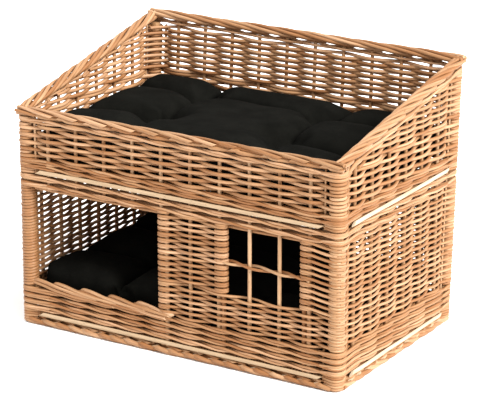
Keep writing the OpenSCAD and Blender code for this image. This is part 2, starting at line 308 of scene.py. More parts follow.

# %% [markdown]
# ## Gathering the rods
#
# A bundle keeps the points and faces of its rods until the last one is in, and only then makes the mesh.
# The finished mesh rides on its CAD body and hides the CAD parts that it replaces.

# %% Bundles
class Bundle:
    """Rods that become one mesh."""

    def __init__(self, sides=8):
        self.sides = sides
        self.size = 0
        self.length = 0.0
        self.points, self.faces, self.caps = [], [], []
        self.facts = {"tone": [], "cut": [], "grain": []}

    def add(self, path, radius, tone=None, up=(0, 0, 1), deep=1.0, slant=0.5, ends=(1.0, 1.0)):
        """One rod along a path. deep is its thickness across the wall against its height."""
        path = np.asarray(path, float)
        rings, angle = tube(path, radius, self.sides, up, deep, np.broadcast_to(slant, 2))
        facts, length = rod_facts(path, angle, self.sides, tone, ends)
        for fact, values in facts.items():
            self.facts[fact] += values
        self.length += length
        self.points += [rings.reshape(-1, 3), rings[0], rings[-1]]
        skin, caps = tube_faces(self.size, len(path), self.sides)
        self.faces.append(skin)
        self.caps += caps
        self.size += (len(path) + 2) * self.sides

    def piece(self, name, slot, material, replaces=(), on=body):
        """The finished mesh, riding on a CAD body."""
        faces, caps = np.concatenate(self.faces), np.array(self.caps)
        facts = {fact: np.concatenate(values) for fact, values in self.facts.items()}
        mesh = filled_mesh(name, np.concatenate(self.points), faces, caps, facts)
        mesh.materials.append(material)
        piece = bpy.data.objects.new(name, mesh)
        bpy.context.collection.objects.link(piece)
        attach(piece, on)
        if replaces:
            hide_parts(*replaces)
        print(name, len(self.caps) // 2, "rods,", round(self.length, 1), "m,", 2 * len(faces), "triangles")


print("bundles are ready")

# %% [markdown]
# ## How willow bends
#
# Willow doesn't kink. It passes each stake in a known direction and bends evenly in between. A Hermite
# curve does the same: it joins two points and keeps the heading given at each. So the weaving below only
# has to list stops, each one a place and a heading.

# %% Smooth paths
def bend(stops, step=6 * MM):
    """A smooth path through stops, each one a point and the heading with which the rod passes it."""
    points = np.array([stop[0] for stop in stops])
    headings = unit(np.array([stop[1] for stop in stops], float))
    path = []
    for a, b, out, into in zip(points, points[1:], headings, headings[1:]):
        gap = np.linalg.norm(b - a)
        t = np.linspace(0, 1, max(2, int(np.ceil(gap / step))), endpoint=False)[:, None]
        path.append(a * (2 * t**3 - 3 * t**2 + 1) + b * (3 * t**2 - 2 * t**3)
                    + gap * (out * (t**3 - 2 * t**2 + t) + into * (t**3 - t**2)))
    return np.concatenate(path + [points[-1:]])


quarter_turn = bend([(np.zeros(3), (1, 0, 0)), (np.array((0.05, 0.05, 0)), (0, 1, 0))])
print("a quarter turn is drawn with", len(quarter_turn), "points")

# %% [markdown]
# ## Nodes by hand
#
# A material is a small network of nodes. The same few steps come back in every finish here: mixing two
# colours, reading a fact from the mesh, turning a grey into colours, and stretching noise so that it runs
# along a rod. Each gets a short function, which keeps the finishes themselves readable.

# %% Mixing colours
def mix_colour(nodes, links, amount, a, b, blend="MIX"):
    """A colour mix. amount, a and b are each an output socket or a plain value."""
    mix = nodes.new("ShaderNodeMix")
    mix.data_type = "RGBA"
    mix.blend_type = blend
    for name, value in (("Factor", amount), ("A", a), ("B", b)):
        kind = "VALUE" if name == "Factor" else "RGBA"
        socket = next(s for s in mix.inputs if s.name == name and s.type == kind)
        if isinstance(value, bpy.types.NodeSocket):
            links.new(value, socket)
        else:
            socket.default_value = value
    return next(s for s in mix.outputs if s.type == "RGBA")


print("colours can be mixed")

# %% [markdown]
# ## Facts, ramps and noise
#
# An Attribute node reads what the rods carry. A colour ramp turns a value between 0 and 1 into a colour,
# and also sharpens soft noise into marks with clear edges. Noise that is scaled much more across a rod than
# along it gives fibres.

# %% Facts, ramps and noise
def fact(nodes, name):
    """A fact that the mesh carries on its points."""
    node = nodes.new("ShaderNodeAttribute")
    node.attribute_name = name
    return node


def ramp(nodes, links, value, *stops):
    """A colour ramp through (place, colour) stops; a single number makes a grey."""
    node = nodes.new("ShaderNodeValToRGB")
    elements = node.color_ramp.elements
    while len(elements) < len(stops):
        elements.new(0.5)
    for element, (place, colour) in zip(elements, stops):
        element.position = place
        element.color = colour if isinstance(colour, tuple) else (colour, colour, colour, 1)
    links.new(value, node.inputs["Fac"])
    return node.outputs["Color"]


def noise(nodes, links, vector, stretch, detail=3.0):
    """Noise that varies quickly along the axes with a large stretch."""
    scaled = nodes.new("ShaderNodeVectorMath")
    scaled.operation = "MULTIPLY"
    scaled.inputs[1].default_value = stretch
    links.new(vector, scaled.inputs[0])
    node = nodes.new("ShaderNodeTexNoise")
    node.inputs["Scale"].default_value = 1.0
    node.inputs["Detail"].default_value = detail
    node.inputs["Roughness"].default_value = 0.6
    links.new(scaled.outputs[0], node.inputs["Vector"])
    return node.outputs["Fac"]


print("finishes can read facts, ramp values and add noise")

# %% [markdown]
# ## Small heights
#
# Fibres and threads are far too fine for the mesh. A Bump node tilts the light on a surface as if they were
# there. One bump can be added to another, so cloth can have threads and wide soft folds at once.

# %% Bumps
def bump(nodes, links, height, strength, distance, under=None):
    """The surface direction with small heights, on top of another bump where one is given."""
    node = nodes.new("ShaderNodeBump")
    node.inputs["Strength"].default_value = strength
    node.inputs["Distance"].default_value = distance
    links.new(height, node.inputs["Height"])
    if under is not None:
        links.new(under, node.inputs["Normal"])
    return node.outputs["Normal"]


print("finishes can have small heights")

# %% [markdown]
# ## Willow, peeled and boiled
#
# Boiled willow is buff: a warm tan that differs from rod to rod. The skin is smooth and a little shiny,
# with fine streaks along it, small dark marks at the old buds, and paler wood where it is cut. A picture of
# bark would repeat and stretch at the bends. So the finish starts from each rod's own tone, adds ruddy
# patches and streaks along the grain, and gives the cut ends a colour of their own.

# %% Willow finish
def willow(name, pale, buff, ruddy, pith=(0.30, 0.16, 0.07, 1), gloss=0.42, streak=0.35):
    """Willow skin between a pale and a ruddy tone, with cut ends."""
    material = bpy.data.materials.new(name)
    material.use_nodes = True
    nodes, links = material.node_tree.nodes, material.node_tree.links
    shader = nodes["Principled BSDF"]
    grain = fact(nodes, "grain").outputs["Vector"]
    tone = fact(nodes, "tone").outputs["Fac"]
    skin = ramp(nodes, links, tone, (0.0, pale), (0.5, buff), (1.0, ruddy))
    patches = noise(nodes, links, grain, (14, 0.7, 0.7))
    skin = mix_colour(nodes, links, ramp(nodes, links, patches, (0.35, 0.0), (0.7, 0.8)), skin, ruddy)
    fibres = noise(nodes, links, grain, (35, 6, 6), detail=4)
    streaks = ramp(nodes, links, fibres, (0.3, 1 - streak), (0.62, 1.0))
    skin = mix_colour(nodes, links, 1.0, skin, streaks, "MULTIPLY")
    buds = noise(nodes, links, grain, (90, 1.1, 1.1), detail=1)
    marks = ramp(nodes, links, buds, (0.71, 0.0), (0.76, 0.75))
    skin = mix_colour(nodes, links, marks, skin, tuple(0.4 * c for c in ruddy[:3]) + (1,))
    cut = fact(nodes, "cut").outputs["Fac"]
    skin = mix_colour(nodes, links, cut, skin, pith)
    links.new(skin, shader.inputs["Base Color"])
    rough = ramp(nodes, links, fibres, (0.3, gloss + 0.18), (0.7, gloss))
    links.new(rough, shader.inputs["Roughness"])
    shader.inputs["Specular IOR Level"].default_value = 0.3
    links.new(bump(nodes, links, fibres, 0.35, 0.4 * MM), shader.inputs["Normal"])
    return material


print("willow can be made in any tone")

# %% [markdown]
# ## The willow finishes
#
# The weavers, the stakes and the borders come from the same harvest, so they share their darkest and palest
# tones. The stakes are a little paler, since thick rods are. The flat edge sticks are split and show white
# wood instead of skin, and the winding on the posts is split willow with a slight gloss.

# %% Willow colours
pale = (0.54, 0.337, 0.202, 1)
buff = (0.425, 0.246, 0.128, 1)
ruddy = (0.28, 0.127, 0.05, 1)
weave_willow = willow("weave_willow", pale, buff, ruddy)
stake_willow = willow("stake_willow", (0.52, 0.35, 0.215, 1), (0.43, 0.27, 0.15, 1), ruddy)
border_willow = willow("border_willow", pale, (0.42, 0.25, 0.135, 1), ruddy, pith=(0.62, 0.48, 0.33, 1))
skein_willow = willow("skein_willow", pale, (0.40, 0.245, 0.135, 1), ruddy, gloss=0.32)
white_willow = willow("white_willow", (0.62, 0.49, 0.35, 1), (0.55, 0.42, 0.29, 1),
                      (0.40, 0.28, 0.17, 1), pith=(0.52, 0.42, 0.30, 1), gloss=0.5, streak=0.3)
print("willow finishes:", [m.name for m in bpy.data.materials if m.name.endswith("willow")])

# %% [markdown]
# ## Rows of plain weave
#
# In plain weave, which weavers call randing, one rod passes before one stake and behind the next, and the
# row above does the opposite, so the rows lock. At a corner a rod that comes from inside goes round the
# outside of the post, and the next row passes on its inner side. Moving a wavy texture over a flat wall
# would be quicker, but the light shows at once that nothing is really woven.

# %% Round a corner
def turn(first, second, z, reach):
    """Stops round the outside of the post between two walls."""
    centre = post_at(first, second, z)
    diagonal = unit(outward[first] + outward[second])
    return [(centre + reach * outward[first], along[first]),
            (centre + reach * diagonal, along[first] + along[second]),
            (centre + reach * outward[second], along[second])]


def cut_corner(first, second, z, radius):
    """One stop on the inner side of the post between two walls."""
    diagonal = unit(outward[first] + outward[second])
    place = post_at(first, second, z) - (post_r + radius + 2.2 * MM) * diagonal
    return [(place, along[first] + along[second])]


print("an inner corner has 1 stop, an outer corner has", len(turn("front", "right", 0.2, post_r)))

# %% [markdown]
# ## One plain row
#
# The stops of a row are the places beside each stake, in turn outside and inside. The corner posts count as
# uprights as well, so that the pattern stays in step all the way round. Every stop is shifted a little,
# since a weaver's rows are even but never straight.

# %% One plain row
def row_stops(walls, z, parity, radius, loose=0.6 * MM, close=False):
    """Stops of one plain row along a chain of walls. A corner post counts as one more upright."""
    reach = post[1] - front_y - radius + 0.2 * MM
    stops, count = [], parity
    for wall, following in zip(walls, walls[1:] + [walls[0] if close else None]):
        for stake in stakes_of(wall, z):
            way = 1 if count % 2 else -1
            off = way * (stake_r + radius * 0.92) + shake(loose)
            stops.append((stake + off * outward[wall] + (0, 0, shake(loose)), along[wall]))
            count += 1
        if following and count % 2:
            stops += turn(wall, following, z + shake(loose), reach)
        elif following:
            stops += cut_corner(wall, following, z + shake(loose), radius)
        count += 1
    return stops


print("a row goes round", 2 * (long_stakes + side_stakes), "stakes")

# %% [markdown]
# ## Thick and thin
#
# A rod is thick at its butt and thin at its tip, and a weaver turns every second one round, so that the
# rows stay level. Some rows are a little stouter on the back and left walls. The rows of a band are spread
# evenly over its height.

# %% Thick and thin
def taper(path, butt, tip):
    """A rod's radius from butt to tip, a little uneven."""
    t = np.linspace(0, 1, len(path))
    wave = 0.03 * np.sin(t * dice.uniform(20, 60) + dice.uniform(0, 6))
    size = butt + (tip - butt) * t if dice.uniform() < 0.5 else tip + (butt - tip) * t
    return size * (1 + wave)


def stouter(path, size, back, left):
    """The radius, a little larger along the back and the left wall."""
    at_back = path[:, 1] > back_y(0) - 20 * MM
    at_left = path[:, 0] < 25 * MM - half_w
    return size * np.select([at_back, at_left], [back, left], 1.0)


def levels(z0, z1, pitch):
    """Even levels of rows that fill a band."""
    rows = round((z1 - z0) / pitch)
    return z0 + (np.arange(rows) + 0.5) * (z1 - z0) / rows


tray_pitch = 5.8 * MM
print("rows under the rim", len(levels(upper_z, rim_wale_z, tray_pitch)))

# %% [markdown]
# ## The tray's walls
#
# Above the upper floor the first rows run right round the basket. Each is a closed ring of a single rod
# whose ends overlap behind a stake. The ring starts at another stake in every row, because a line of rod
# ends one above another would be weak and ugly.

# %% Rings round the tray
tray_r = 2.9 * MM
rings = Bundle()
for count, z in enumerate(levels(upper_z, rim_wale_z, tray_pitch)):
    stops = row_stops(all_walls, z + shake(0.5 * MM), count, tray_r, close=True)
    inside = [k for k, stake in enumerate(stakes_of("front", z)) if (k + count) % 2 == 0]
    start = inside[dice.integers(len(inside))]
    loop = stops[start:] + stops[:start]
    loop += [(loop[0][0] + (6 * MM, 0, -1.5 * MM), loop[0][1])]
    path = bend(loop)
    rings.add(path, stouter(path, taper(path, tray_r * 1.08, tray_r * 0.9), 1.17, 1.2))
rings.piece("tray_rings", "willow_weave", weave_willow, ["front_upper_weave"])

# %% [markdown]
# ## Filling up to the high back
#
# The back of the tray is higher than its front, so shorter rows run along the right side, the back and the
# left side only. Each ends where it meets the slope. Finding that place on each side beforehand is fiddly,
# so the path of a whole row is made first, and the part above the slope is left out.

# %% Short rows under the slope
fill_r = 2.6 * MM
fill_pitch = 4.9 * MM
short_rows = Bundle()
for count, z in enumerate(levels(rim_wale_z, back_wale_z, fill_pitch)):
    path = bend(row_stops(["right", "back", "left"], z + shake(0.4 * MM), count, fill_r))
    under = path[:, 2] < under_rim(path[:, 1]) - rim_wale_h * 0.6
    path = path[under]
    short_rows.add(path, stouter(path, taper(path, fill_r * 1.06, fill_r * 0.9), 1.17, 1.22))
short_rows.piece("tray_short_rows", "willow_weave", weave_willow,
                 ["back_upper_weave", "left_upper_weave", "right_upper_weave"])

# %% [markdown]
# ## The end of a row at a front post
#
# Below the upper floor the side rows don't go round the front posts, because the doorway and the window are
# there. A row that comes from outside hooks round the post, and the next one stops behind it. The same
# stops serve both ends of a row: read backwards, they end one.

# %% Tucking in at a front post
room_r = 2.42 * MM
room_pitch = 4.82 * MM


def tuck(side, z, outside):
    """Stops at a front post, from which a side row starts; read backwards, they end one."""
    centre = np.array((side * post[0], post[1], z))
    if outside:
        reach = post[1] - front_y - room_r
        return [(centre + reach * unit(np.array((side * 0.8, -0.6, 0))), (side * 0.6, 0.8, 0)),
                (centre + (side * reach, 1 * MM, 0), (0, 1, 0))]
    reach = post_r + 2.2 * MM + room_r
    return [(centre + (-side * 0.5 * reach, 0.87 * reach, 0), (side * 0.9, 0.5, 0)),
            (centre + (side * 0.15 * reach, 1.1 * reach, 0), (side * 0.3, 0.9, 0))]


def reverse(stops):
    """The same stops, met from the other end."""
    return [(point, -np.array(way, float)) for point, way in stops[::-1]]


print("rods of the sleeping room are", round(2000 * room_r, 2), "mm thick")

# %% [markdown]
# ## The sleeping room's side and back walls
#
# These rods are thinner than the tray's and lie closer, as the real ones do, so the room is darker and
# warmer than the tray. One rod makes the right side, the back and the left side of each row.

# %% Rows round the sleeping room
room_rows = Bundle()
for count, z in enumerate(levels(lower_z, header_z, room_pitch)):
    walls = row_stops(["right", "back", "left"], z + shake(0.4 * MM), count, room_r)
    path = bend(tuck(1, z, count % 2 == 0) + walls + reverse(tuck(-1, z, count % 2 == 0)))
    room_rows.add(path, stouter(path, taper(path, room_r * 1.07, room_r * 0.9), 1.32, 1.1))
room_rows.piece("room_rows", "willow_weave", weave_willow,
                ["back_lower_weave", "left_lower_weave", "right_lower_weave"])

# %% [markdown]
# ## Sizes of the openings
#
# The front wall has a doorway on the left and a window with bars on the right. The stakes beside an opening
# are double, because all the pull of the rows ends there. Their places come from the CAD parts, like
# everything else.

# %% Openings
jamb_r = (high("door_jamb") - low("door_jamb"))[1] / 2
jamb_half = (high("door_jamb") - low("door_jamb"))[0] / 2
door_jamb_x = middle("door_jamb")[0]
window_x = (middle("window_jamb_left")[0], middle("window_jamb_right")[0])
bar_x = (low("window_bars")[0] + stake_r, high("window_bars")[0] - stake_r)
window_z = high("window_sill_weave")[2]
panel_x = stake_x[5]
wall_y = front_y + wall_half
print("double stakes at x", [round(float(x), 3) for x in (door_jamb_x, *window_x)])

# %% [markdown]
# ## Turning back at an opening
#
# A row can't just stop at an opening, it would unravel. The weaver winds it one and a half times round the
# double stake and works back, a row higher. So a double stake is covered by neat loops from top to bottom.
# Eight stops on the four sides of the stake describe such a winding.

# %% Winding round a double stake
def wind(x, side, z, lift, radius):
    """Stops one and a half times round a double stake, ending where the next row begins."""
    wide, deep = jamb_half + radius * 0.9, jamb_r + radius * 0.9
    way = np.array((side, 0, 0), float)
    face = -1 if side > 0 else 1
    stops = []
    for share, place in ((0.0, "face"), (0.2, "edge"), (0.35, "rear"), (0.5, "inner"),
                         (0.7, "face"), (0.85, "edge"), (1.0, "rear")):
        spot = {"face": (0, face * deep), "edge": (side * wide, 0),
                "rear": (0, -face * deep), "inner": (-side * wide, 0)}[place]
        heading = {"face": way, "edge": np.array((0, -face, 0)),
                   "rear": -way, "inner": np.array((0, face, 0))}[place]
        stops.append((np.array((x + spot[0], wall_y + spot[1], z + share * lift)), heading))
    return stops


print("one winding has", len(wind(0.0, 1, 0.0, 0.005, 0.0)), "stops")

# %% [markdown]
# ## Meeting the corner post
#
# To the right of the window the rows reach the corner post. There they behave as everywhere: one row goes
# round the outside of the post, and the next tucks in behind it.

# %% Front stops
def pass_by(x, z, front, gap, heading):
    """A stop before or behind a single upright of the front wall."""
    off = (-1 if front else 1) * gap
    return (np.array((x, wall_y + off + shake(0.4 * MM), z + shake(0.5 * MM))), (heading, 0, 0))


def at_post(z, heading, outside, drop=0.0):
    """Stops where a front row meets the right corner post."""
    if outside:
        reach = post[1] - front_y - room_r
        ends = [((-4 * MM, -reach), (1, -0.02, 0)), ((0.45 * reach, -0.89 * reach), (0.9, 0.45, 0))]
    else:
        ends = [((-post_r - 7 * MM, 4 * MM), (0.8, 0.6, 0)), ((-post_r - 1 * MM, 11 * MM), (0.8, 0.5, 0))]
    stops = [(np.array((post[0] + x, post[1] + y, z - drop)), way) for (x, y), way in ends]
    return stops if heading > 0 else reverse(stops)


print("a front row reaches x", round(float(post[0]), 3))

# %% [markdown]
# ## Below the window
#
# The lowest rows of the front wall run from the door's double stake, behind and before five uprights, to
# the corner post. Each rod makes two rows: it comes from the post, winds round the double stake and goes
# back one row higher.

# %% Rows below the window
panel_levels = levels(lower_z, header_z, room_pitch)
below = [z for z in panel_levels if z < window_z]
above = [z for z in panel_levels if z >= window_z]
pitch = panel_levels[1] - panel_levels[0]
low_rows = Bundle()
uprights = [(panel_x, stake_r), (window_x[0], jamb_r), (bar_x[0], stake_r), (bar_x[1], stake_r),
            (window_x[1], jamb_r)]


def low_row(z, heading, first_front):
    """Stops from the door's double stake to the corner post, in the heading's direction."""
    stops = [pass_by(x, z, (k + first_front) % 2, r + room_r, heading) for k, (x, r) in enumerate(uprights)]
    end = at_post(z, heading, (len(uprights) + first_front) % 2, 1 * MM)
    return stops + end if heading > 0 else end + stops[::-1]


for z in below[::2]:
    stops = low_row(z, -1, 1) + wind(door_jamb_x, -1, z, pitch, room_r) + low_row(z + pitch, 1, 0)
    path = bend(stops, 4.5 * MM)
    low_rows.add(path, taper(path, room_r * 1.06, room_r * 0.92))
low_rows.piece("window_sill_rows", "willow_weave", weave_willow, ["window_sill_weave"])

# %% [markdown]
# ## Between the doorway and the window
#
# This narrow panel has a double stake on each side and one single stake in its middle. A rod winds round
# the left double stake, passes the single one, winds round the right one, and comes back.

# %% Rows of the panel
panel = Bundle()
for z in above[::2]:
    stops = wind(door_jamb_x, -1, z - pitch, pitch, room_r)[3:]
    stops += [pass_by(panel_x, z, False, stake_r + room_r, 1)]
    stops += wind(window_x[0], 1, z, pitch, room_r)
    stops += [pass_by(panel_x, z + pitch, True, stake_r + room_r, -1)]
    stops += wind(door_jamb_x, -1, z + pitch, pitch, room_r)[:4]
    path = bend(stops, 4 * MM)
    panel.add(path, taper(path, room_r * 1.06, room_r * 0.92))
panel.piece("door_panel_rows", "willow_weave", weave_willow, ["door_panel_weave"])

# %% [markdown]
# ## Beside the window
#
# Only a narrow strip is left between the window and the corner post. Its rods come from the post, wind
# round the window's double stake and return to the post.

# %% Rows of the strip
strip = Bundle()
for z in above[::2]:
    stops = at_post(z, -1, False, 4 * MM)
    stops += wind(window_x[1], -1, z, pitch, room_r)
    stops += at_post(z + pitch, 1, True, 5 * MM)
    path = bend(stops, 4 * MM)
    strip.add(path, taper(path, room_r * 1.06, room_r * 0.92))
strip.piece("window_strip_rows", "willow_weave", weave_willow, ["window_side_weave"])

# %% [markdown]
# ## Wales
#
# A wale is worked with three rods at once. Each in turn goes before two stakes and behind the third, so
# from outside a wale looks like a twisted rope two rods high. Wales hold the stakes apart and stiffen the
# basket. They stand above the foot, over the doorway, above the upper floor and under the rim. All three
# rods get their stops from one rule: a count along the stakes, divided by three, says whether the rod is
# behind, in front and high, or in front and low.

# %% Where a wale passes a stake
wale_r = 2.2 * MM
plan_z = 0.3  # stakes are looked up at this height, then moved to the row's level


def wale_place(wall, stake, phase, level, spread=0.95):
    """Where a wale's rod passes a stake: behind it, in front and high, or in front and low."""
    out = stake_r + wale_r if phase else -stake_r - wale_r * 0.8
    up = (0.0, 1.0, -1.0)[phase] * wale_r * spread
    place = stake + out * outward[wall]
    place[2] = level(wall, stake[1]) + up
    return place


print("a wale row is about", round(4000 * wale_r, 1), "mm high")

# %% [markdown]
# ## One wale row
#
# The three rods run right round the basket and turn round the outside of every corner post. Each starts
# one stake after the one before it. The level of a row is given as a function of the place, so the same
# row can lie flat or climb.

# %% Wale rows
def wale_row(bundle, level, start):
    """Three rods round the basket. level gives the row's height at a place on a wall."""
    reach = post[1] - front_y - wale_r + 0.3 * MM
    for strand in range(3):
        stops, count = [], strand + start
        for wall, following in zip(all_walls, all_walls[1:] + all_walls[:1]):
            for stake in stakes_of(wall, plan_z):
                place = wale_place(wall, stake, count % 3, level)
                place[2] += shake(0.7 * MM)
                if wall == "back":
                    place[1] += back_y(place[2]) - back_y(plan_z)
                stops.append((place, along[wall]))
                count += 1
            up = (1.0, 0.0, -1.0)[count % 3] * wale_r
            for point, way in turn(wall, following, plan_z, reach):
                z = level(wall, point[1]) + up
                if "back" in (wall, following):
                    point = point + (0, back_y(z) - back_y(plan_z), 0)
                stops.append((np.array((point[0], point[1], z)), way))
        last = wale_place("front", stakes_of("front", plan_z)[0], (strand + start + 2) % 3, level, 0.98)
        stops.append((last, along["front"]))
        path = bend(stops)
        bundle.add(path, taper(path, wale_r * 1.1, wale_r * 0.93))


print("three rods pass", 2 * (long_stakes + side_stakes), "stakes and 4 posts in each wale row")

# %% [markdown]
# ## The level wales
#
# Three of the wales are level bands. Behind the wale over the openings lie five straight rods, where the
# upper floor rests on the wall. They can't be seen well on the real basket, but they close the line of
# sight over the window.

# %% Level wales
def flat_wale(name, z0, z1, rows, node, start=0, inner=()):
    """A level wale, and straight rods behind its front part at the inner heights."""
    bundle = Bundle()
    inner_y = wall_y + stake_r + 3.2 * MM
    inner_x = (post_r - post[0], *stake_x, post[0] - post_r)
    for height in inner:
        stops = [(np.array((x, inner_y + shake(1 * MM), z0 + height * MM)), (1, 0, 0)) for x in inner_x]
        bundle.add(bend(stops), 2.7 * MM)
    for row in range(rows):
        middle_z = z0 + (row + 0.5) * (z1 - z0) / rows
        wale_row(bundle, lambda wall, y, z=middle_z: z, row + start)
    bundle.piece(name, "willow_weave", weave_willow, [node])


flat_wale("foot_wale", base_top, lower_z, 4, "base_wale")
flat_wale("header_wale_rows", header_z - 3 * MM, shelf_bottom, 2, "header_wale", 1,
          inner=(-3.4, 1.9, 7.2, 12.5, 17.5))
flat_wale("floor_wale", shelf_top, upper_z, 2, "shelf_wale", 2)

# %% [markdown]
# ## Rods under the floors' edges
#
# Where a floor meets a wall there would be a bright slit. The real basket has the bent ends of the floor's
# rods there. A straight rod on either side of each floor stands for them.

# %% Rods along the floors
edge_rods = Bundle()
for z in (base_top - 1 * MM, foot_h + 1.5 * MM, shelf_bottom + 1.5 * MM, shelf_top - 1.5 * MM):
    inset = wall_half + 5 * MM
    x, y0, y1 = half_w - inset, front_y + inset, back_y(z) - inset
    for a, b in (((-x, y0), (x, y0)), ((x, y0), (x, y1)), ((x, y1), (-x, y1)), ((-x, y1), (-x, y0))):
        run = np.linspace(0, 1, 30)[:, None]
        path = np.array((*a, z)) * (1 - run) + np.array((*b, z)) * run
        edge_rods.add(path[2:-2] + dice.normal(0, 0.2 * MM, (26, 3)), 3.0 * MM)
edge_rods.piece("floor_edge_rods", "willow_weave", weave_willow)

# %% [markdown]
# ## The wale under the rim
#
# This wale follows the rim: it is level along the front and the back, and it climbs along the sides.

# %% Wale under the rim
def rim_level(wall, y):
    """Middle of the wale under the rim."""
    if wall == "front":
        return front_under - rim_wale_h / 2
    if wall == "back":
        return back_h - rim_h - rim_wale_h / 2
    return under_rim(y) - rim_wale_h / 2


rim_wale = Bundle()
wale_row(rim_wale, rim_level, 0)
rim_wale.piece("rim_wale_rows", "willow_weave", weave_willow, ["rim_wale"])

# %% [markdown]
# ## Stakes
#
# The stakes are nearly straight rods, thicker than the weavers, and everything is woven round them. A plain
# cylinder would be too perfect, so each one bows a little and gets thinner toward its tip.

# %% One stake
def upright(bundle, foot, top, radius, wobble=0.4 * MM):
    """A nearly straight rod from foot to top."""
    t = np.linspace(0, 1, 9)[:, None]
    bow = np.sin(pi * t) * np.array((shake(wobble), shake(wobble), 0))
    path = np.array(foot) * (1 - t) + np.array(top) * t + bow
    bundle.add(path, radius * np.linspace(1.03, 0.97, 9), up=(0, 1, 0))


print("a stake is", round(2000 * stake_r, 1), "mm thick")

# %% [markdown]
# ## Stakes of the front and the back
#
# Over the doorway the front stakes start at the wale, and their lower ends are bent over along the sill.
# The two stakes that cross the window come later, because they stand bare.

# %% Front and back stakes
front_stakes = Bundle(10)
for k, x in enumerate(stake_x):
    if k in (7, 8):
        continue
    foot = foot_h if k == 5 else header_z - 4 * MM
    upright(front_stakes, (x, wall_y, foot), (x, wall_y, front_under + 3 * MM), stake_r)
    if k < 4:
        upright(front_stakes, (x, wall_y, foot_h), (x, wall_y, lower_z + 2 * MM), stake_r)
front_stakes.piece("front_stakes", "willow_stakes", stake_willow, ["stakes_front"])
back_stakes = Bundle(10)
for x in stake_x:
    top = back_h - rim_h
    upright(back_stakes, (x, back_y(foot_h) - wall_half, foot_h), (x, back_y(top) - wall_half, top), stake_r)
back_stakes.piece("back_stakes", "willow_stakes", stake_willow, ["stakes_back"])

# %% [markdown]
# ## Stakes of the sides
#
# Each of these six stakes is cut where it meets the slope of the rim.

# %% Side stakes
for name, side in (("left", -1), ("right", 1)):
    side_set = Bundle(10)
    for y in stake_y:
        x = side * (half_w - wall_half)
        upright(side_set, (x, y, foot_h), (x, y, under_rim(y)), stake_r)
    side_set.piece(f"{name}_stakes", "willow_stakes", stake_willow, [f"stakes_{name}"])

# %% [markdown]
# ## Double stakes
#
# A pair of stakes stands on each side of the window and to the right of the doorway.

# %% Double stakes
jambs = {"door_jamb": door_jamb_x, "window_jamb_left": window_x[0], "window_jamb_right": window_x[1]}
for node, x in jambs.items():
    pair = Bundle(10)
    for side in (-1, 1):
        place = x + side * (jamb_half - jamb_r)
        upright(pair, (place, wall_y, foot_h), (place, wall_y, header_z + 2 * MM), jamb_r * 0.97)
    pair.piece(node + "_stakes", "willow_stakes", stake_willow, [node])

# %% [markdown]
# ## Bars of the window
#
# Two stakes are left bare across the window. They are seen from all round, so they are smoother tubes with
# more sides, and they bow a little more than the others.

# %% Window bars
bars = Bundle(12)
for x in bar_x:
    upright(bars, (x, wall_y, foot_h), (x, wall_y, front_under + 2 * MM), stake_r, 1.2 * MM)
bars.piece("window_bar_rods", "willow_stakes", stake_willow, ["window_bars"])

# %% [markdown]
# ## The crossbar
#
# Two thin rods are twisted across the bars, one before and one behind, and they change places at each bar.
# Their ends are tucked into the rows on both sides.

# %% Window crossbar
cross_z = middle("window_crossbar")[2]
cross_r = 2.3 * MM
crossbar = Bundle(10)
for side in (-1, 1):
    stops = [(np.array((window_x[0] - 6 * MM, wall_y - side * 6 * MM, cross_z + 1 * MM)), (1, 0, 0))]
    places = (window_x[0] + jamb_half, *bar_x, window_x[1] - jamb_half)
    for k, x in enumerate(places):
        off = side * (stake_r + cross_r) * (-1) ** k
        stops.append((np.array((x, wall_y + off, cross_z - 0.4 * k * MM)), (1, 0, side * (-1) ** k * 0.16)))
    stops.append((np.array((window_x[1] + 8 * MM, wall_y + side * 6.3 * MM, cross_z - 3 * MM)), (1, 0, 0)))
    crossbar.add(bend(stops, 4 * MM), cross_r)
crossbar.piece("window_crossbar_rods", "willow_stakes", stake_willow, ["window_crossbar"])

# %% [markdown]
# ## Wound posts
#
# Beside the doorway and the window no rows go round the front posts, so they are wound with split willow
# from top to bottom. Every turn touches the next. Stacked rings would look like a spring toy, so the
# winding is one long helix, a little flattened, whose turns wander slightly.

# %% Post windings
skein_r = 2.58 * MM
skein_pitch = 4.9 * MM
steps_per_turn = 20
for name, side in (("left", -1), ("right", 1)):
    skein = Bundle()
    z0, z1 = lower_z + 1 * MM, header_z - 1 * MM
    turns = round((z1 - z0) / skein_pitch)
    steps = turns * steps_per_turn
    angle = np.linspace(0, 2 * pi * turns, steps)
    reach = post[1] - front_y - 2.1 * MM
    wander = np.interp(angle, np.arange(turns + 1) * 2 * pi, dice.normal(0, 0.15 * MM, turns + 1))
    climb = np.interp(angle, np.arange(turns + 1) * 2 * pi, dice.normal(0, 0.3 * MM, turns + 1))
    x = side * (post[0] + (reach + wander) * np.sin(angle))
    y = post[1] + (reach + wander) * np.cos(angle)
    skein.add(np.stack([x, y, np.linspace(z0, z1, steps) + climb], -1), skein_r, deep=0.74)
    skein.piece(f"post_winding_{name}", "wound_skein", skein_willow, [f"post_wrap_{name}"])

# %% [markdown]
# ## Part of a turn round a post
#
# Where rows turn a corner, the weaver takes the rod once round the post, so the post is covered on the
# inside of the basket too. The rows above already pass one side of it. What is missing is an arc on the
# other side.

# %% Arcs
wrap_r = 2.5 * MM


def arc(centre, toward, reach, sweep, rise_by):
    """Part of a turn round a post, centred on a direction."""
    across = np.array((-toward[1], toward[0], 0))
    angle = np.radians(np.linspace(-sweep, sweep, int(sweep / 7)))[:, None]
    path = centre + reach * (np.cos(angle) * toward + np.sin(angle) * across)
    path[:, 2] += np.linspace(-0.5, 0.5, len(path)) * rise_by
    return path


print("a half turn has", len(arc(np.zeros(3), np.array((1.0, 0, 0)), 0.01, 90, 0)), "points")

# %% [markdown]
# ## Covered corners
#
# Each row is looked at once more at each corner. If it passed outside, the arc goes inside, and the other
# way round. The number of uprights that a row has passed by then says which. At the foot and at the upper
# floor, rods bend round the outside of the post and run out into the wales.

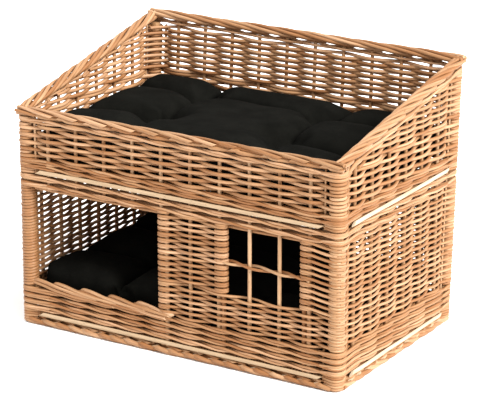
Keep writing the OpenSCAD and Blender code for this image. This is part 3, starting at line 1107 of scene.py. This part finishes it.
# %% Corner wraps
face_reach = post[1] - front_y - wrap_r + 0.2 * MM
passed = dict(zip(all_walls, np.cumsum([long_stakes, side_stakes + 1, long_stakes + 1, side_stakes + 1])))
outer_levels = [*levels(2 * MM, base_top + 1 * MM, 4.8 * MM), *levels(shelf_bottom, shelf_top, 4.6 * MM)]
for first, second in zip(all_walls, all_walls[1:] + all_walls[:1]):
    wraps = Bundle()
    outer = unit(outward[first] + outward[second])
    rows = [(z, count + passed[first]) for count, z in enumerate(levels(upper_z, rim_wale_z, tray_pitch))]
    if "back" in (first, second):
        before = passed[first] - passed["front"] - 1
        for z0, z1, gap in ((rim_wale_z, back_wale_z, fill_pitch), (lower_z, header_z, room_pitch)):
            rows += [(z, count + before) for count, z in enumerate(levels(z0, z1, gap))]
    for z, count in rows:
        centre = post_at(first, second, z + shake(0.5 * MM))
        if count % 2:
            wraps.add(arc(centre, -outer, post_r + wrap_r, 105, 2 * MM), wrap_r)
        else:
            wraps.add(arc(centre, outer, face_reach, 112, 2 * MM), wrap_r)
    for z in outer_levels:
        centre = post_at(first, second, z)
        start = centre + (face_reach - 5 * MM) * outward[first] - 17 * MM * along[first]
        stop = centre + (face_reach - 5 * MM) * outward[second] + 17 * MM * along[second]
        quarter = arc(centre, outer, face_reach, 45, 0)
        wraps.add(np.concatenate([[start], quarter, [stop]]), wrap_r, ends=(0, 0))
    wraps.piece(f"corner_wraps_{first}_{second}", "willow_weave", weave_willow)

# %% [markdown]
# ## By-stakes
#
# Thin extra stakes stand close beside each post. They keep the rows apart there, and the weaver pushes them
# in when the corner is done.

# %% By-stakes
by_gap = post_r + 9.5 * MM
by_r = 2.0 * MM
by_stakes = Bundle()
for side in (-1, 1):
    x, edge = side * (post[0] - by_gap), side * (half_w - wall_half)
    upright(by_stakes, (x, wall_y, shelf_bottom), (x, wall_y, front_under), by_r)
    upright(by_stakes, (x, wall_y, foot_h), (x, wall_y, lower_z), by_r)
    upright(by_stakes, (x, back_y(foot_h) - wall_half, foot_h),
            (x, back_y(back_top[2]) - wall_half, back_top[2]), by_r)
    y = post[1] + by_gap
    upright(by_stakes, (edge, y, foot_h), (edge, y, under_rim(y)), by_r)
    y0, y1 = (back_y(z) - (post[1] - front_y) - by_gap for z in (foot_h, back_top[2]))
    upright(by_stakes, (edge, y0, foot_h), (edge, y1, under_rim(y1)), by_r)
by_stakes.piece("by_stakes", "willow_stakes", stake_willow)

# %% [markdown]
# ## Borders
#
# Along the rim the stakes themselves are bent over and laid into a thick rolled edge. Every stake lies
# along the edge for a few spaces and then goes under, so the border looks like a slow rope. A twisted
# texture on a round bar wouldn't cast the small deep shadows between the rods. So each rod is a helix round
# the edge's middle line, and a new one starts at every stake, with a thin core inside so that no light
# comes through. The core takes the darkest willow tone, which paints shade into the gaps between the rods.

# %% A rolled border
def border(bundle, start, end, gap, strands, wide, tall, radius, hand=-1, twin=0.0, slant=1.6,
           begin_at=-pi / 2, fill=1.7):
    """Rods that each turn once round the edge's middle line. A new one starts every gap."""
    start, end = np.array(start, float), np.array(end, float)
    length = np.linalg.norm(end - start)
    ahead = (end - start) / length
    across = unit(np.cross(ahead, (0, 0, 1)))
    over = np.cross(across, ahead)
    pitch = strands * gap
    for k in range(-strands, int(length / gap) + 2):
        for shift in (0.0, twin)[: 2 if twin else 1]:
            nominal = (k + 0.5) * gap + shift
            begin = nominal + shake(4 * MM)
            stop = begin + pitch * (0.93 + shake(0.08))
            a, b = max(begin, 0), min(stop, length)
            if b - a < 25 * MM:
                continue
            s = np.linspace(a, b, int((b - a) / (6 * MM)) + 4)
            share = (s - begin) / (stop - begin)
            angle = hand * 2 * pi * (s - nominal) / pitch + begin_at
            loose = 1 + 0.08 * np.sin(share * 7 + dice.uniform(0, 6)) - 0.35 * (share < 0.06)
            path = start + np.outer(s, ahead)
            path = path + np.outer((wide / 2 - radius) * np.cos(angle) * loose, across)
            path = path + np.outer((tall / 2 - radius) * np.sin(angle) * loose, over)
            size = radius * (1.04 - 0.2 * share) * (1 + shake(0.08))
            free = (begin > 0, stop < length)
            bundle.add(path, size, slant=[slant if loose_end else 0.2 for loose_end in free], ends=free)
    core = start + np.outer(np.linspace(0.01, 0.99, 40) * length, ahead)
    # The core takes the darkest willow tone: painted shade in the gaps between the strands.
    bundle.add(core, min(tall, wide) / 2 - fill * radius + 0.5 * MM, tone=1.0)


print("rods of a border start", round(1000 * (stake_x[1] - stake_x[0])), "mm apart")

# %% [markdown]
# ## Front and back rim
#
# The level rims are wide and flat on top. The rods go over the edge toward the outside, and their cut ends
# stay in sight on the outer face.

# %% Front and back rim
proud = front_y - low("rim_border_front")[1]
rim_wide = 2 * (wall_half + proud)
side_x = half_w - wall_half
bay = stake_x[1] - stake_x[0]
side_bay = stake_y[1] - stake_y[0]
rim_z = front_h - rim_h / 2
back_rim_z = back_h - rim_h / 2
back_rim_y = back_y(back_rim_z) - wall_half
front_rim = Bundle(10)
border(front_rim, (-half_w, wall_y, rim_z), (half_w, wall_y, rim_z), bay, 5, rim_wide, rim_h + 2 * MM,
       3.3 * MM, begin_at=-0.12 * pi)
front_rim.piece("front_rim", "willow_borders", border_willow, ["rim_border_front"])
back_rim = Bundle(10)
border(back_rim, (half_w, back_rim_y, back_rim_z), (-half_w, back_rim_y, back_rim_z), bay, 5, rim_wide,
       rim_h + 2 * MM, 3.4 * MM)
back_rim.piece("back_rim", "willow_borders", border_willow, ["rim_border_back"])

# %% [markdown]
# ## Sloping rims
#
# Along the slopes the rods lie in pairs and turn faster, which makes a clear rope.

# %% Sloping rims
for name, side in (("left", -1), ("right", 1)):
    slope_rim = Bundle(10)
    y0, y1 = front_y + 8 * MM, back_rim_y + 4 * MM
    border(slope_rim, (side * side_x, y0, under_rim(y0) + rim_drop / 2),
           (side * side_x, y1, under_rim(y1) + rim_drop / 2), side_bay, 3, rim_wide, rim_h + 2 * MM,
           3.4 * MM, hand=-side, twin=0.4 * side_bay, fill=2.3)
    slope_rim.piece(f"{name}_rim", "willow_borders", border_willow, [f"rim_border_{name}"])

# %% [markdown]
# ## The foot
#
# The foot is plaited in the same way, with a tighter twist and two rods at a time. The cut ends are long
# slanted ovals of pale wood. They are left showing along the outer side.

# %% Foot borders
foot_back = back_y(0) - wall_half
x1, y0, y1 = post[0] - 2 * MM, post[1] + 2 * MM, foot_back - 7 * MM
foot_ends = {"front": ((-x1, wall_y), (x1, wall_y)), "right": ((side_x, y0), (side_x, y1)),
             "back": ((x1, foot_back), (-x1, foot_back)), "left": ((-side_x, y1), (-side_x, y0))}
for wall, (a, b) in foot_ends.items():
    foot = Bundle(10)
    border(foot, (*a, foot_h / 2), (*b, foot_h / 2), bay, 3, rim_wide, foot_h + 1 * MM, 3.7 * MM,
           twin=0.42 * bay, slant=2.4, begin_at=0.2 * pi)
    foot.piece(f"{wall}_foot", "willow_borders", border_willow, [f"foot_border_{wall}"])

# %% [markdown]
# ## The doorway's sill
#
# The stakes under the doorway are bent over to the right, one over the next, and cut off in front. Each
# pair of rods comes up between the rows, turns over, and lies along the sill for two spaces. This gives the
# scalloped edge over which the pet steps.

# %% Door sill
sill_top = high("door_sill_border")[2]
sill_r = 3.1 * MM
door_sill = Bundle(10)
for k, x in enumerate([stake_x[0] - 0.75 * bay, *stake_x[:4]]):
    for twin in (0, 1):
        z = sill_top - sill_r - 4.6 * MM * twin + shake(1 * MM)
        x0 = x - 7 * MM * twin
        stops = [(np.array((x0 + 1 * MM, wall_y + 3 * MM, lower_z - 6 * MM)), (0, 0, 1)),
                 (np.array((x0 + 0.10 * bay, wall_y + 1 * MM, z - 3 * MM)), (0.7, -0.1, 0.8)),
                 (np.array((x0 + 0.38 * bay, wall_y - 1.5 * MM, z)), (1, -0.06, -0.06)),
                 (np.array((x0 + 1.15 * bay, wall_y - 5.5 * MM, z - 5 * MM)), (1, -0.02, -0.1)),
                 (np.array((x0 + 1.9 * bay, wall_y - 6.5 * MM, z - 8.5 * MM)), (1, 0.02, -0.05)),
                 (np.array((x0 + 2.5 * bay, wall_y - 6 * MM, z - 10 * MM)), (1, 0.03, -0.03))]
        path = bend(stops, 5 * MM)
        path = path[path[:, 0] < door_jamb_x + (16 - 9 * twin) * MM]
        share = np.linspace(0, 1, len(path))
        door_sill.add(path, sill_r * (1.03 - 0.25 * share), up=(0, 1, 0), slant=1.5, ends=(0.2, 0.2))
door_sill.piece("door_sill", "willow_borders", border_willow, ["door_sill_border"])

# %% [markdown]
# ## Woven floors
#
# Each floor is a mat of rods woven across six lengthwise sticks. It is hidden under a cushion until the
# cushion is lifted out, and then it is what one sees. A rod of the mat weaves over and under like a row of
# a wall, lying down.

# %% Floor mats
def floor_mat(name, node):
    """Rods worked across the sticks of a floor."""
    mat = Bundle(6)
    z = middle(node + "_weave")[2]
    rows = round((2 * half_w - 4 * wall_half) / (5.4 * MM))
    for count, x in enumerate(np.linspace(-1, 1, rows) * (half_w - 2.2 * wall_half)):
        stops = [(np.array((x, low(node + "_weave")[1], z)), (0, 1, 0))]
        for k, y in enumerate(stake_y):
            way = 1 if (k + count) % 2 else -1
            stops.append((np.array((x, y, z + way * 2.3 * MM)), (0, 1, 0)))
        stops.append((np.array((x, high(node + "_weave")[1] - 1 * MM, z)), (0, 1, 0)))
        mat.add(bend(stops, 14 * MM), 2.5 * MM)
    mat.piece(f"{name}_floor_mat", "willow_weave", weave_willow, [node + "_weave"])


floor_nodes = (("lower", "base"), ("upper", "upper"))
print("two floors, each with", side_stakes, "sticks inside")

# %% [markdown]
# ## Pale edge sticks
#
# A flat stick closes each floor's edge on every side. It is split willow, so it is whiter than everything
# else, and its ends are cut at an angle. It is the palest line on the real basket, and a slight bend keeps
# it from looking ruled.

# %% Edge sticks
def edge_sticks(name, floor_name):
    """Four flat sticks round a floor."""
    for wall in all_walls:
        stick = Bundle(12)
        node = f"{floor_name}_stick_{wall}"
        a, b = low(node), high(node)
        centre, size = (a + b) / 2, b - a
        run = 0 if wall in ("front", "back") else 1
        t = np.linspace(-0.5, 0.5, 25)
        path = np.tile(centre, (25, 1))
        path[:, run] += t * size[run]
        path[:, 2] += np.interp(t, np.linspace(-0.5, 0.5, 6), dice.normal(0, 0.5 * MM, 6))
        thick = size[2] * 0.41 * np.linspace(1.0, 0.9, 25)
        stick.add(path, thick, deep=0.6, slant=1.6, tone=0.0 if run else 0.8)
        stick.piece(f"{name}_edge_stick_{wall}", "peeled_sticks", white_willow, [node])


for name, floor_name in floor_nodes:
    floor_mat(name, floor_name + "_floor")
    edge_sticks(name, floor_name)

# %% [markdown]
# ## Parts of the CAD model that stay
#
# The corner posts and the sticks inside the floors have the right shape already, so they keep their CAD
# mesh and only get a finish. CAD meshes carry no grain of their own, so this bark takes its coordinates
# from the object, stretched along the height.

# %% Finish of the posts
def plain_willow(name, colour, dark):
    """Bark for parts that carry no grain."""
    material = bpy.data.materials.new(name)
    material.use_nodes = True
    nodes, links = material.node_tree.nodes, material.node_tree.links
    shader = nodes["Principled BSDF"]
    place = nodes.new("ShaderNodeTexCoord").outputs["Object"]
    fibres = noise(nodes, links, place, (260, 260, 14), detail=5)
    links.new(ramp(nodes, links, fibres, (0.3, dark), (0.65, colour)), shader.inputs["Base Color"])
    shader.inputs["Roughness"].default_value = 0.55
    links.new(bump(nodes, links, fibres, 0.4, 0.5 * MM), shader.inputs["Normal"])
    return material


post_willow = plain_willow("post_willow", (0.40, 0.24, 0.12, 1), (0.24, 0.12, 0.05, 1))
for node in ("post_front_left", "post_front_right", "post_back_left", "post_back_right",
             "base_floor_sticks", "upper_floor_sticks"):
    for part_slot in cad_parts[node].material_slots:
        part_slot.material = post_willow
print("posts and floor sticks finished")

# %% [markdown]
# ## Black cotton
#
# The cushions are covered with plain black cotton. Black cloth isn't zero: it reflects about one part in a
# hundred, and it looks dusty where the light grazes it. It is very rough and has no gloss. Two crossed
# waves make the weave of the threads, fine noise makes lint, and a wide soft bump stands for the small
# folds that no mesh shows.

# %% Threads
def thread_weave(nodes, links, place):
    """Heights of crossed threads."""
    weave = nodes.new("ShaderNodeMath")
    weave.operation = "MULTIPLY"
    for k, bands in enumerate(("X", "Y")):
        wave = nodes.new("ShaderNodeTexWave")
        wave.bands_direction = bands
        wave.inputs["Scale"].default_value = 320
        wave.inputs["Distortion"].default_value = 1.5
        links.new(place, wave.inputs["Vector"])
        links.new(wave.outputs["Fac"], weave.inputs[k])
    return weave.outputs[0]


print("threads cross along x and y")

# %% [markdown]
# ## The cotton's colour and folds
#
# Two close tones, mixed in clouds, keep the black from looking like a hole. The bump of the threads and
# the bump of the small folds are added.

# %% Cotton
def cotton(name, dark, light):
    """Plain woven cotton between two close tones."""
    material = bpy.data.materials.new(name)
    material.use_nodes = True
    nodes, links = material.node_tree.nodes, material.node_tree.links
    shader = nodes["Principled BSDF"]
    place = nodes.new("ShaderNodeTexCoord").outputs["Object"]
    cloud = noise(nodes, links, place, (22, 22, 22), detail=5)
    lint = noise(nodes, links, place, (900, 900, 900), detail=2)
    faded = ramp(nodes, links, cloud, (0.35, dark), (0.65, light))
    speck = ramp(nodes, links, lint, (0.4, 0.75), (0.65, 1.0))
    links.new(mix_colour(nodes, links, 1.0, faded, speck, "MULTIPLY"), shader.inputs["Base Color"])
    shader.inputs["Roughness"].default_value = 1.0
    shader.inputs["Specular IOR Level"].default_value = 0.05
    threads = bump(nodes, links, thread_weave(nodes, links, place), 0.25, 0.3 * MM)
    small_folds = noise(nodes, links, place, (28, 40, 28))
    links.new(bump(nodes, links, small_folds, 0.35, 3 * MM, threads), shader.inputs["Normal"])
    return material


black_cotton = cotton("black_cotton", (0.0068, 0.0067, 0.0055, 1), (0.0112, 0.011, 0.0092, 1))
tuft_cotton = cotton("tuft_cotton", (0.012, 0.012, 0.011, 1), (0.02, 0.02, 0.019, 1))
print("cotton finishes made")

# %% [markdown]
# ## A blank for a cushion
#
# The real cushion is a bag of cloth filled with wadding, and four tufts pull its two sides together. A
# cloth simulation can puff up such a bag, if its mesh is even. So a block with soft edges is remeshed into
# small squares of one size. It starts smaller than the cushion, because it is going to swell.

# %% Cushion blank
def cushion_blank(name, size, voxel=6.5 * MM):
    """An even mesh of a soft-edged block."""
    bpy.ops.mesh.primitive_cube_add(size=1)
    blank = bpy.context.object
    blank.name = name
    blank.scale = size
    bpy.ops.object.transform_apply(location=False, rotation=False, scale=True)
    soft = blank.modifiers.new("soft", "BEVEL")
    soft.width, soft.segments, soft.limit_method = size[2] * 0.27, 5, "NONE"
    even = blank.modifiers.new("even", "REMESH")
    even.mode, even.voxel_size = "VOXEL", voxel
    for step in ("soft", "even"):
        bpy.ops.object.modifier_apply(modifier=step)
    return blank


print("cushions start as blocks")

# %% [markdown]
# ## Moving many points at once
#
# The shape of the cushion is worked out with arrays: all points are read, moved, and written back. Two
# small measures help. One is the distance from a crease, seen from above. The other holds a value under a
# limit without an edge, the way wadding gives way against a wall.

# %% Points in and out
def read(piece):
    """All points of a mesh."""
    place = np.zeros(len(piece.data.vertices) * 3, np.float32)
    piece.data.vertices.foreach_get("co", place)
    return place.reshape(-1, 3).astype(float)


def write(piece, place):
    """Puts all points of a mesh back."""
    piece.data.vertices.foreach_set("co", place.astype(np.float32).ravel())
    piece.data.update()


def line_gap(place, a, b):
    """Distance in plan from each point to the line from a to b."""
    run = np.array(b) - np.array(a)
    t = np.clip((place[:, :2] - a) @ run / (run @ run), 0, 1)
    return np.linalg.norm(place[:, :2] - a - np.outer(t, run), axis=1)


def settle(value, limit, give):
    """Value, held softly under a limit."""
    return limit - give * np.logaddexp(0, (limit - value) / give)


print("1 held under 1 becomes", round(float(settle(1.0, 1.0, 0.1)), 3))

# %% [markdown]
# ## Tufts and creases
#
# Each tuft is a stitch of thread through the whole cushion. The cloth folds along the shortest ways from
# tuft to tuft and from the tufts to the edges. A crease is kept as its two ends and how deep it is.

# %% Tufts and creases
def plan_tufts(half, luck):
    """Places of the four tufts, and the creases that run from them."""
    tx, ty = half[0] * 0.42, half[1] * 0.40
    tufts = [np.array((i * tx, j * ty + 8 * MM)) for i in (-1, 1) for j in (-1, 1)]
    tufts = [tuft + luck.uniform(-7, 7, 2) * MM for tuft in tufts]
    creases = [(tufts[a], tufts[b], 0.34) for a, b in ((0, 1), (2, 3), (1, 3))]
    for tuft in tufts:
        sides = np.sign(tuft)
        creases.append((tuft, np.array((sides[0] * half[0] * 1.1, tuft[1] * 1.2)), 0.62))
        creases.append((tuft, np.array((tuft[0] * 1.15, sides[1] * half[1] * 1.1)), 0.62))
    return tufts, creases


print("creases of a cushion:", len(plan_tufts(np.ones(3), np.random.default_rng(0))[1]))

# %% [markdown]
# ## Pressing the blank into shape
#
# Before it swells, the blank gets its rough form. Its sides pull in between the corners, its middle is
# crowned, and it is pinched almost flat at the tufts and lightly along the creases.

# %% Pressed blank
def pressed(place, half, tufts, creases):
    """The blank's points with crown, drawn-in sides, tufts and creases."""
    u, v = place[:, 0] / half[0], place[:, 1] / half[1]
    place[:, 0] *= 1 - 0.02 * (1 - v**2)
    place[:, 1] *= 1 - 0.03 * (1 - u**2)
    place[:, 2] *= 0.97 + 0.07 * (1 - u**4) * (1 - v**4)
    sink = np.zeros(len(place))
    for tuft in tufts:
        gap = np.linalg.norm(place[:, :2] - tuft, axis=1)
        sink = np.maximum(sink, 0.9 * np.exp(-((gap / (22 * MM)) ** 2)))
    for a, b, depth in creases:
        sink = np.maximum(sink, depth * np.exp(-((line_gap(place, a, b) / (7 * MM)) ** 2)))
    place[:, 2] *= 1 - sink
    return place


print("the blank is pressed by a function of its own, so both cushions share it")

# %% [markdown]
# ## Swelling
#
# Blender's cloth solver blows the bag up from inside, while the points at the tufts stay pinned. Gravity
# is off, since the filling carries the cloth. Twenty frames are enough. No point may move further than a
# cap, which keeps the simulation from running away, and the result is kept as plain points.

# %% Cloth simulation
def swell(piece, place, tufts):
    """The points after the filling has pressed the cloth outward."""
    pin = piece.vertex_groups.new(name="tufts")
    for tuft in tufts:
        gap = np.linalg.norm(place[:, :2] - tuft, axis=1)
        pin.add([int(i) for i in np.nonzero(gap < 6.5 * MM)[0]], 1.0, "REPLACE")
    puff = piece.modifiers.new("puff", "CLOTH")
    cloth = puff.settings
    cloth.quality = 6
    cloth.mass = 0.2
    cloth.use_pressure = True
    cloth.uniform_pressure_force = 4
    cloth.tension_stiffness = cloth.compression_stiffness = 12
    cloth.shear_stiffness = 6
    cloth.bending_stiffness = 0.4
    cloth.shrink_min = -0.10
    cloth.vertex_group_mass = "tufts"
    cloth.effector_weights.gravity = 0
    puff.point_cache.frame_start, puff.point_cache.frame_end = 1, 20
    for number in range(1, 21):
        bpy.context.scene.frame_set(number)
    ready = piece.evaluated_get(bpy.context.evaluated_depsgraph_get())
    puffed = np.zeros(len(place) * 3, np.float32)
    ready.data.vertices.foreach_get("co", puffed)
    move = puffed.reshape(-1, 3) - place
    far = np.linalg.norm(move, axis=1, keepdims=True)
    piece.modifiers.remove(puff)
    bpy.context.scene.frame_set(1)
    print(piece.name, "swells by", round(float(far.mean() * 1000), 1), "mm on average")
    return place + move * np.minimum(1, 28 * MM / np.maximum(far, 1e-9))


# %% [markdown]
# ## Held by the walls
#
# A swollen cushion presses against the walls and takes their shape. So the points are held softly inside
# the space of the CAD cushion, and the corners are rounded in plan, clear of the posts.

# %% Holding the cushion in its room
def held_in(place, limit, round_r=12 * MM):
    """The points, held inside a box with rounded corners."""
    held = settle(np.abs(place), limit, 5 * MM)
    inner = limit[:2] - round_r
    past = np.maximum(held[:, :2] - inner, 0)
    reach = np.linalg.norm(past, axis=1)
    shorter = settle(reach, round_r, 3 * MM) / np.maximum(reach, 1e-9)
    corner = (past > 0).all(axis=1)
    held[corner, :2] = (inner + past * shorter[:, None])[corner]
    return held * np.sign(place)


print("a far corner is held at", held_in(np.ones((1, 3)), np.full(3, 0.1)).round(3))

# %% [markdown]
# ## Folds
#
# Small folds fan out from every tuft, and each crease becomes a sharp groove in a wide soft valley. A
# simulation fine enough for these would take minutes, so waves round each tuft and along each crease
# shape them directly. They act on the upper side only, since the lower side lies flat.

# %% Folds and grooves
def folded(place, half, tufts, creases, luck):
    """Heights that the folds add to each point."""
    folds = np.zeros(len(place))
    for tuft in tufts:
        away = place[:, :2] - tuft
        gap = np.linalg.norm(away, axis=1)
        turn_by = np.arctan2(away[:, 1], away[:, 0])
        bent = turn_by + 0.35 * np.sin(gap / (23 * MM) + luck.uniform(0, 6))
        for waves, tall, reach in ((5, 2.2, 52), (9, 1.5, 34), (14, 0.9, 26)):
            ridge = 1 - 2 * np.abs(np.sin(waves * bent / 2 + luck.uniform(0, 6)))
            folds += tall * MM * ridge * np.exp(-gap / (reach * MM)) * np.clip(gap / (9 * MM), 0, 1)
    for a, b, depth in creases:
        near = np.linalg.norm(place[:, :2] - a, axis=1)
        groove = 10 * MM + 13 * MM * np.exp(-near / (40 * MM))
        bow = line_gap(place, a, b) + 2.5 * MM * np.sin(near / (14 * MM) + luck.uniform(0, 6))
        folds -= depth * groove * np.exp(-((bow / (4.5 * MM)) ** 2))
        folds -= depth * 15 * MM * np.exp(-((bow / (21 * MM)) ** 2))
    return folds * np.clip(place[:, 2] / half[2], 0, 1) ** 2


print("folds fan out from each tuft in 5, 9 and 14 waves")

# %% [markdown]
# ## Tuft threads
#
# The thread goes straight through the cushion, and on top it shows as two short crossed stitches. They
# are rods like all others here, only thinner and of cotton.

# %% Tuft threads
def tuft_threads(which, on, shape, centre, tufts):
    """The stitches that pull a cushion together."""
    threads = Bundle(8)
    for tuft in tufts:
        near = shape[np.linalg.norm(shape[:, :2] - centre[:2] - tuft, axis=1) < 7 * MM]
        top, bottom = near[:, 2].max() + 0.3 * MM, near[:, 2].min() - 0.1 * MM
        spot = np.array((*(centre[:2] + tuft), 0))
        through = spot + np.outer(np.linspace(bottom, top - 1 * MM, 6), (0, 0, 1))
        threads.add(through, 1.0 * MM, up=(0, 1, 0))
        for way in ((5, 2), (-2, 5)):
            across = np.linspace(-1, 1, 7)
            stitch = spot + np.outer(across, (way[0] * MM, way[1] * MM, 0))
            stitch[:, 2] = top - 1.5 * MM * across**2
            threads.add(stitch, 0.8 * MM)
    threads.piece(f"{which}_cushion_tufts", "tuft_thread", tuft_cotton, [f"{which}_cushion_ties"], on=on)


print("each tuft is one thread and two stitches")

# %% [markdown]
# ## The two cushions
#
# Now the steps come together: blank, press, swell, hold, fold, and one subdivision that smooths the small
# squares. The cover and its filling become one piece here, because the filling is never seen. The lower
# cushion stays in the basket. The upper one rides on its own body and lifts out of the tray.

# %% Cushions
def cushion(which, on, seed, side_gap=1.5 * MM):
    """A tufted cushion in the place of its CAD cover and filling."""
    cover = f"{which}_cushion_cover"
    a, b = low(cover), high(cover)
    centre, size = (a + b) / 2, b - a
    piece = cushion_blank(f"{which}_cushion", size - (20 * MM, 20 * MM, 20 * MM))
    place = read(piece)
    half = np.abs(place).max(axis=0)
    luck = np.random.default_rng(seed)
    tufts, creases = plan_tufts(half, luck)
    place = pressed(place, half, tufts, creases)
    write(piece, place)
    place = swell(piece, place, tufts)
    limit = size / 2 - side_gap
    limit[2] += 5 * MM
    place = held_in(place, limit)
    place[:, 2] += folded(place, half, tufts, creases, luck)
    place[:, 2] = np.clip(place[:, 2], side_gap - size[2] / 2, limit[2])
    write(piece, place + centre)
    piece.modifiers.new("finer", "SUBSURF").levels = 1
    bpy.ops.object.select_all(action="DESELECT")
    bpy.context.view_layer.objects.active = piece
    bpy.ops.object.modifier_apply(modifier="finer")
    piece.data.polygons.foreach_set("use_smooth", [True] * len(piece.data.polygons))
    piece.data.materials.clear()
    piece.data.materials.append(black_cotton)
    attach(piece, on)
    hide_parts(cover, f"{which}_cushion_filling")
    shape = read(piece)
    tuft_threads(which, on, shape, centre, tufts)
    print(piece.name, len(piece.data.polygons), "faces, box", shape.min(0).round(4), shape.max(0).round(4))


cushion("lower", "basket", 5)
cushion("top", "top_cushion", 8)

# %% [markdown]
# ## A pale floor
#
# The basket stands on plain pale paper, large enough to fill the view from every side. A bright floor also
# throws light back up under the rims, as a studio's does.

# %% Floor
floor_mesh = bpy.data.meshes.new("studio_floor")
reach = 14.0
floor_mesh.from_pydata([(-reach, -reach, 0), (reach, -reach, 0), (reach, reach, 0), (-reach, reach, 0)], [],
                       [(0, 1, 2, 3)])
floor = bpy.data.objects.new("studio_floor", floor_mesh)
bpy.context.collection.objects.link(floor)
paper = bpy.data.materials.new("paper")
paper.use_nodes = True
paper.node_tree.nodes["Principled BSDF"].inputs["Base Color"].default_value = (0.96, 0.96, 0.96, 1)
paper.node_tree.nodes["Principled BSDF"].inputs["Roughness"].default_value = 0.9
floor_mesh.materials.append(paper)
print("floor laid")

# %% [markdown]
# ## Soft light from the right
#
# An even white sky fills the shadows, and one wide sun from the upper right makes the right wall the
# brightest and gives the rods their roundness. A sun with a large angle is like a big softbox: its shadows
# have no edge. The plain view transform keeps the paper white, and a little extra contrast deepens the
# gaps between the rods.

# %% Light
sky = 1.2
world = bpy.data.worlds.new("studio")
world.use_nodes = True
world.node_tree.nodes["Background"].inputs["Color"].default_value = (1, 1, 1, 1)
world.node_tree.nodes["Background"].inputs["Strength"].default_value = sky
bpy.context.scene.world = world
bpy.context.scene.view_settings.view_transform = "Standard"
bpy.context.scene.view_settings.look = "Medium High Contrast"
sun_data = bpy.data.lights.new("key", "SUN")
sun_data.energy = 5.2
sun_data.angle = 0.5
sun = bpy.data.objects.new("key", sun_data)
bpy.context.collection.objects.link(sun)
sun.rotation_euler = Vector((-0.85, 0.16, -0.62)).to_track_quat("-Z", "Y").to_euler()
print("sky", sky, "and sun", sun_data.energy)

# %% [markdown]
# ## The camera
#
# A long lens from a few metres away shows the basket with very little perspective. It looks down a little,
# toward the corner between the front and the right wall.

# %% Camera
data = bpy.data.cameras.new("camera")
data.sensor_width = 36
data.lens = 188.84
camera = bpy.data.objects.new("camera", data)
bpy.context.collection.objects.link(camera)
camera.location = (2.0313, -3.3292, 1.4917)
camera.rotation_euler = (pi / 2 - 0.320090, -0.00103, 0.548257)
bpy.context.scene.camera = camera
print("camera at", tuple(camera.location))
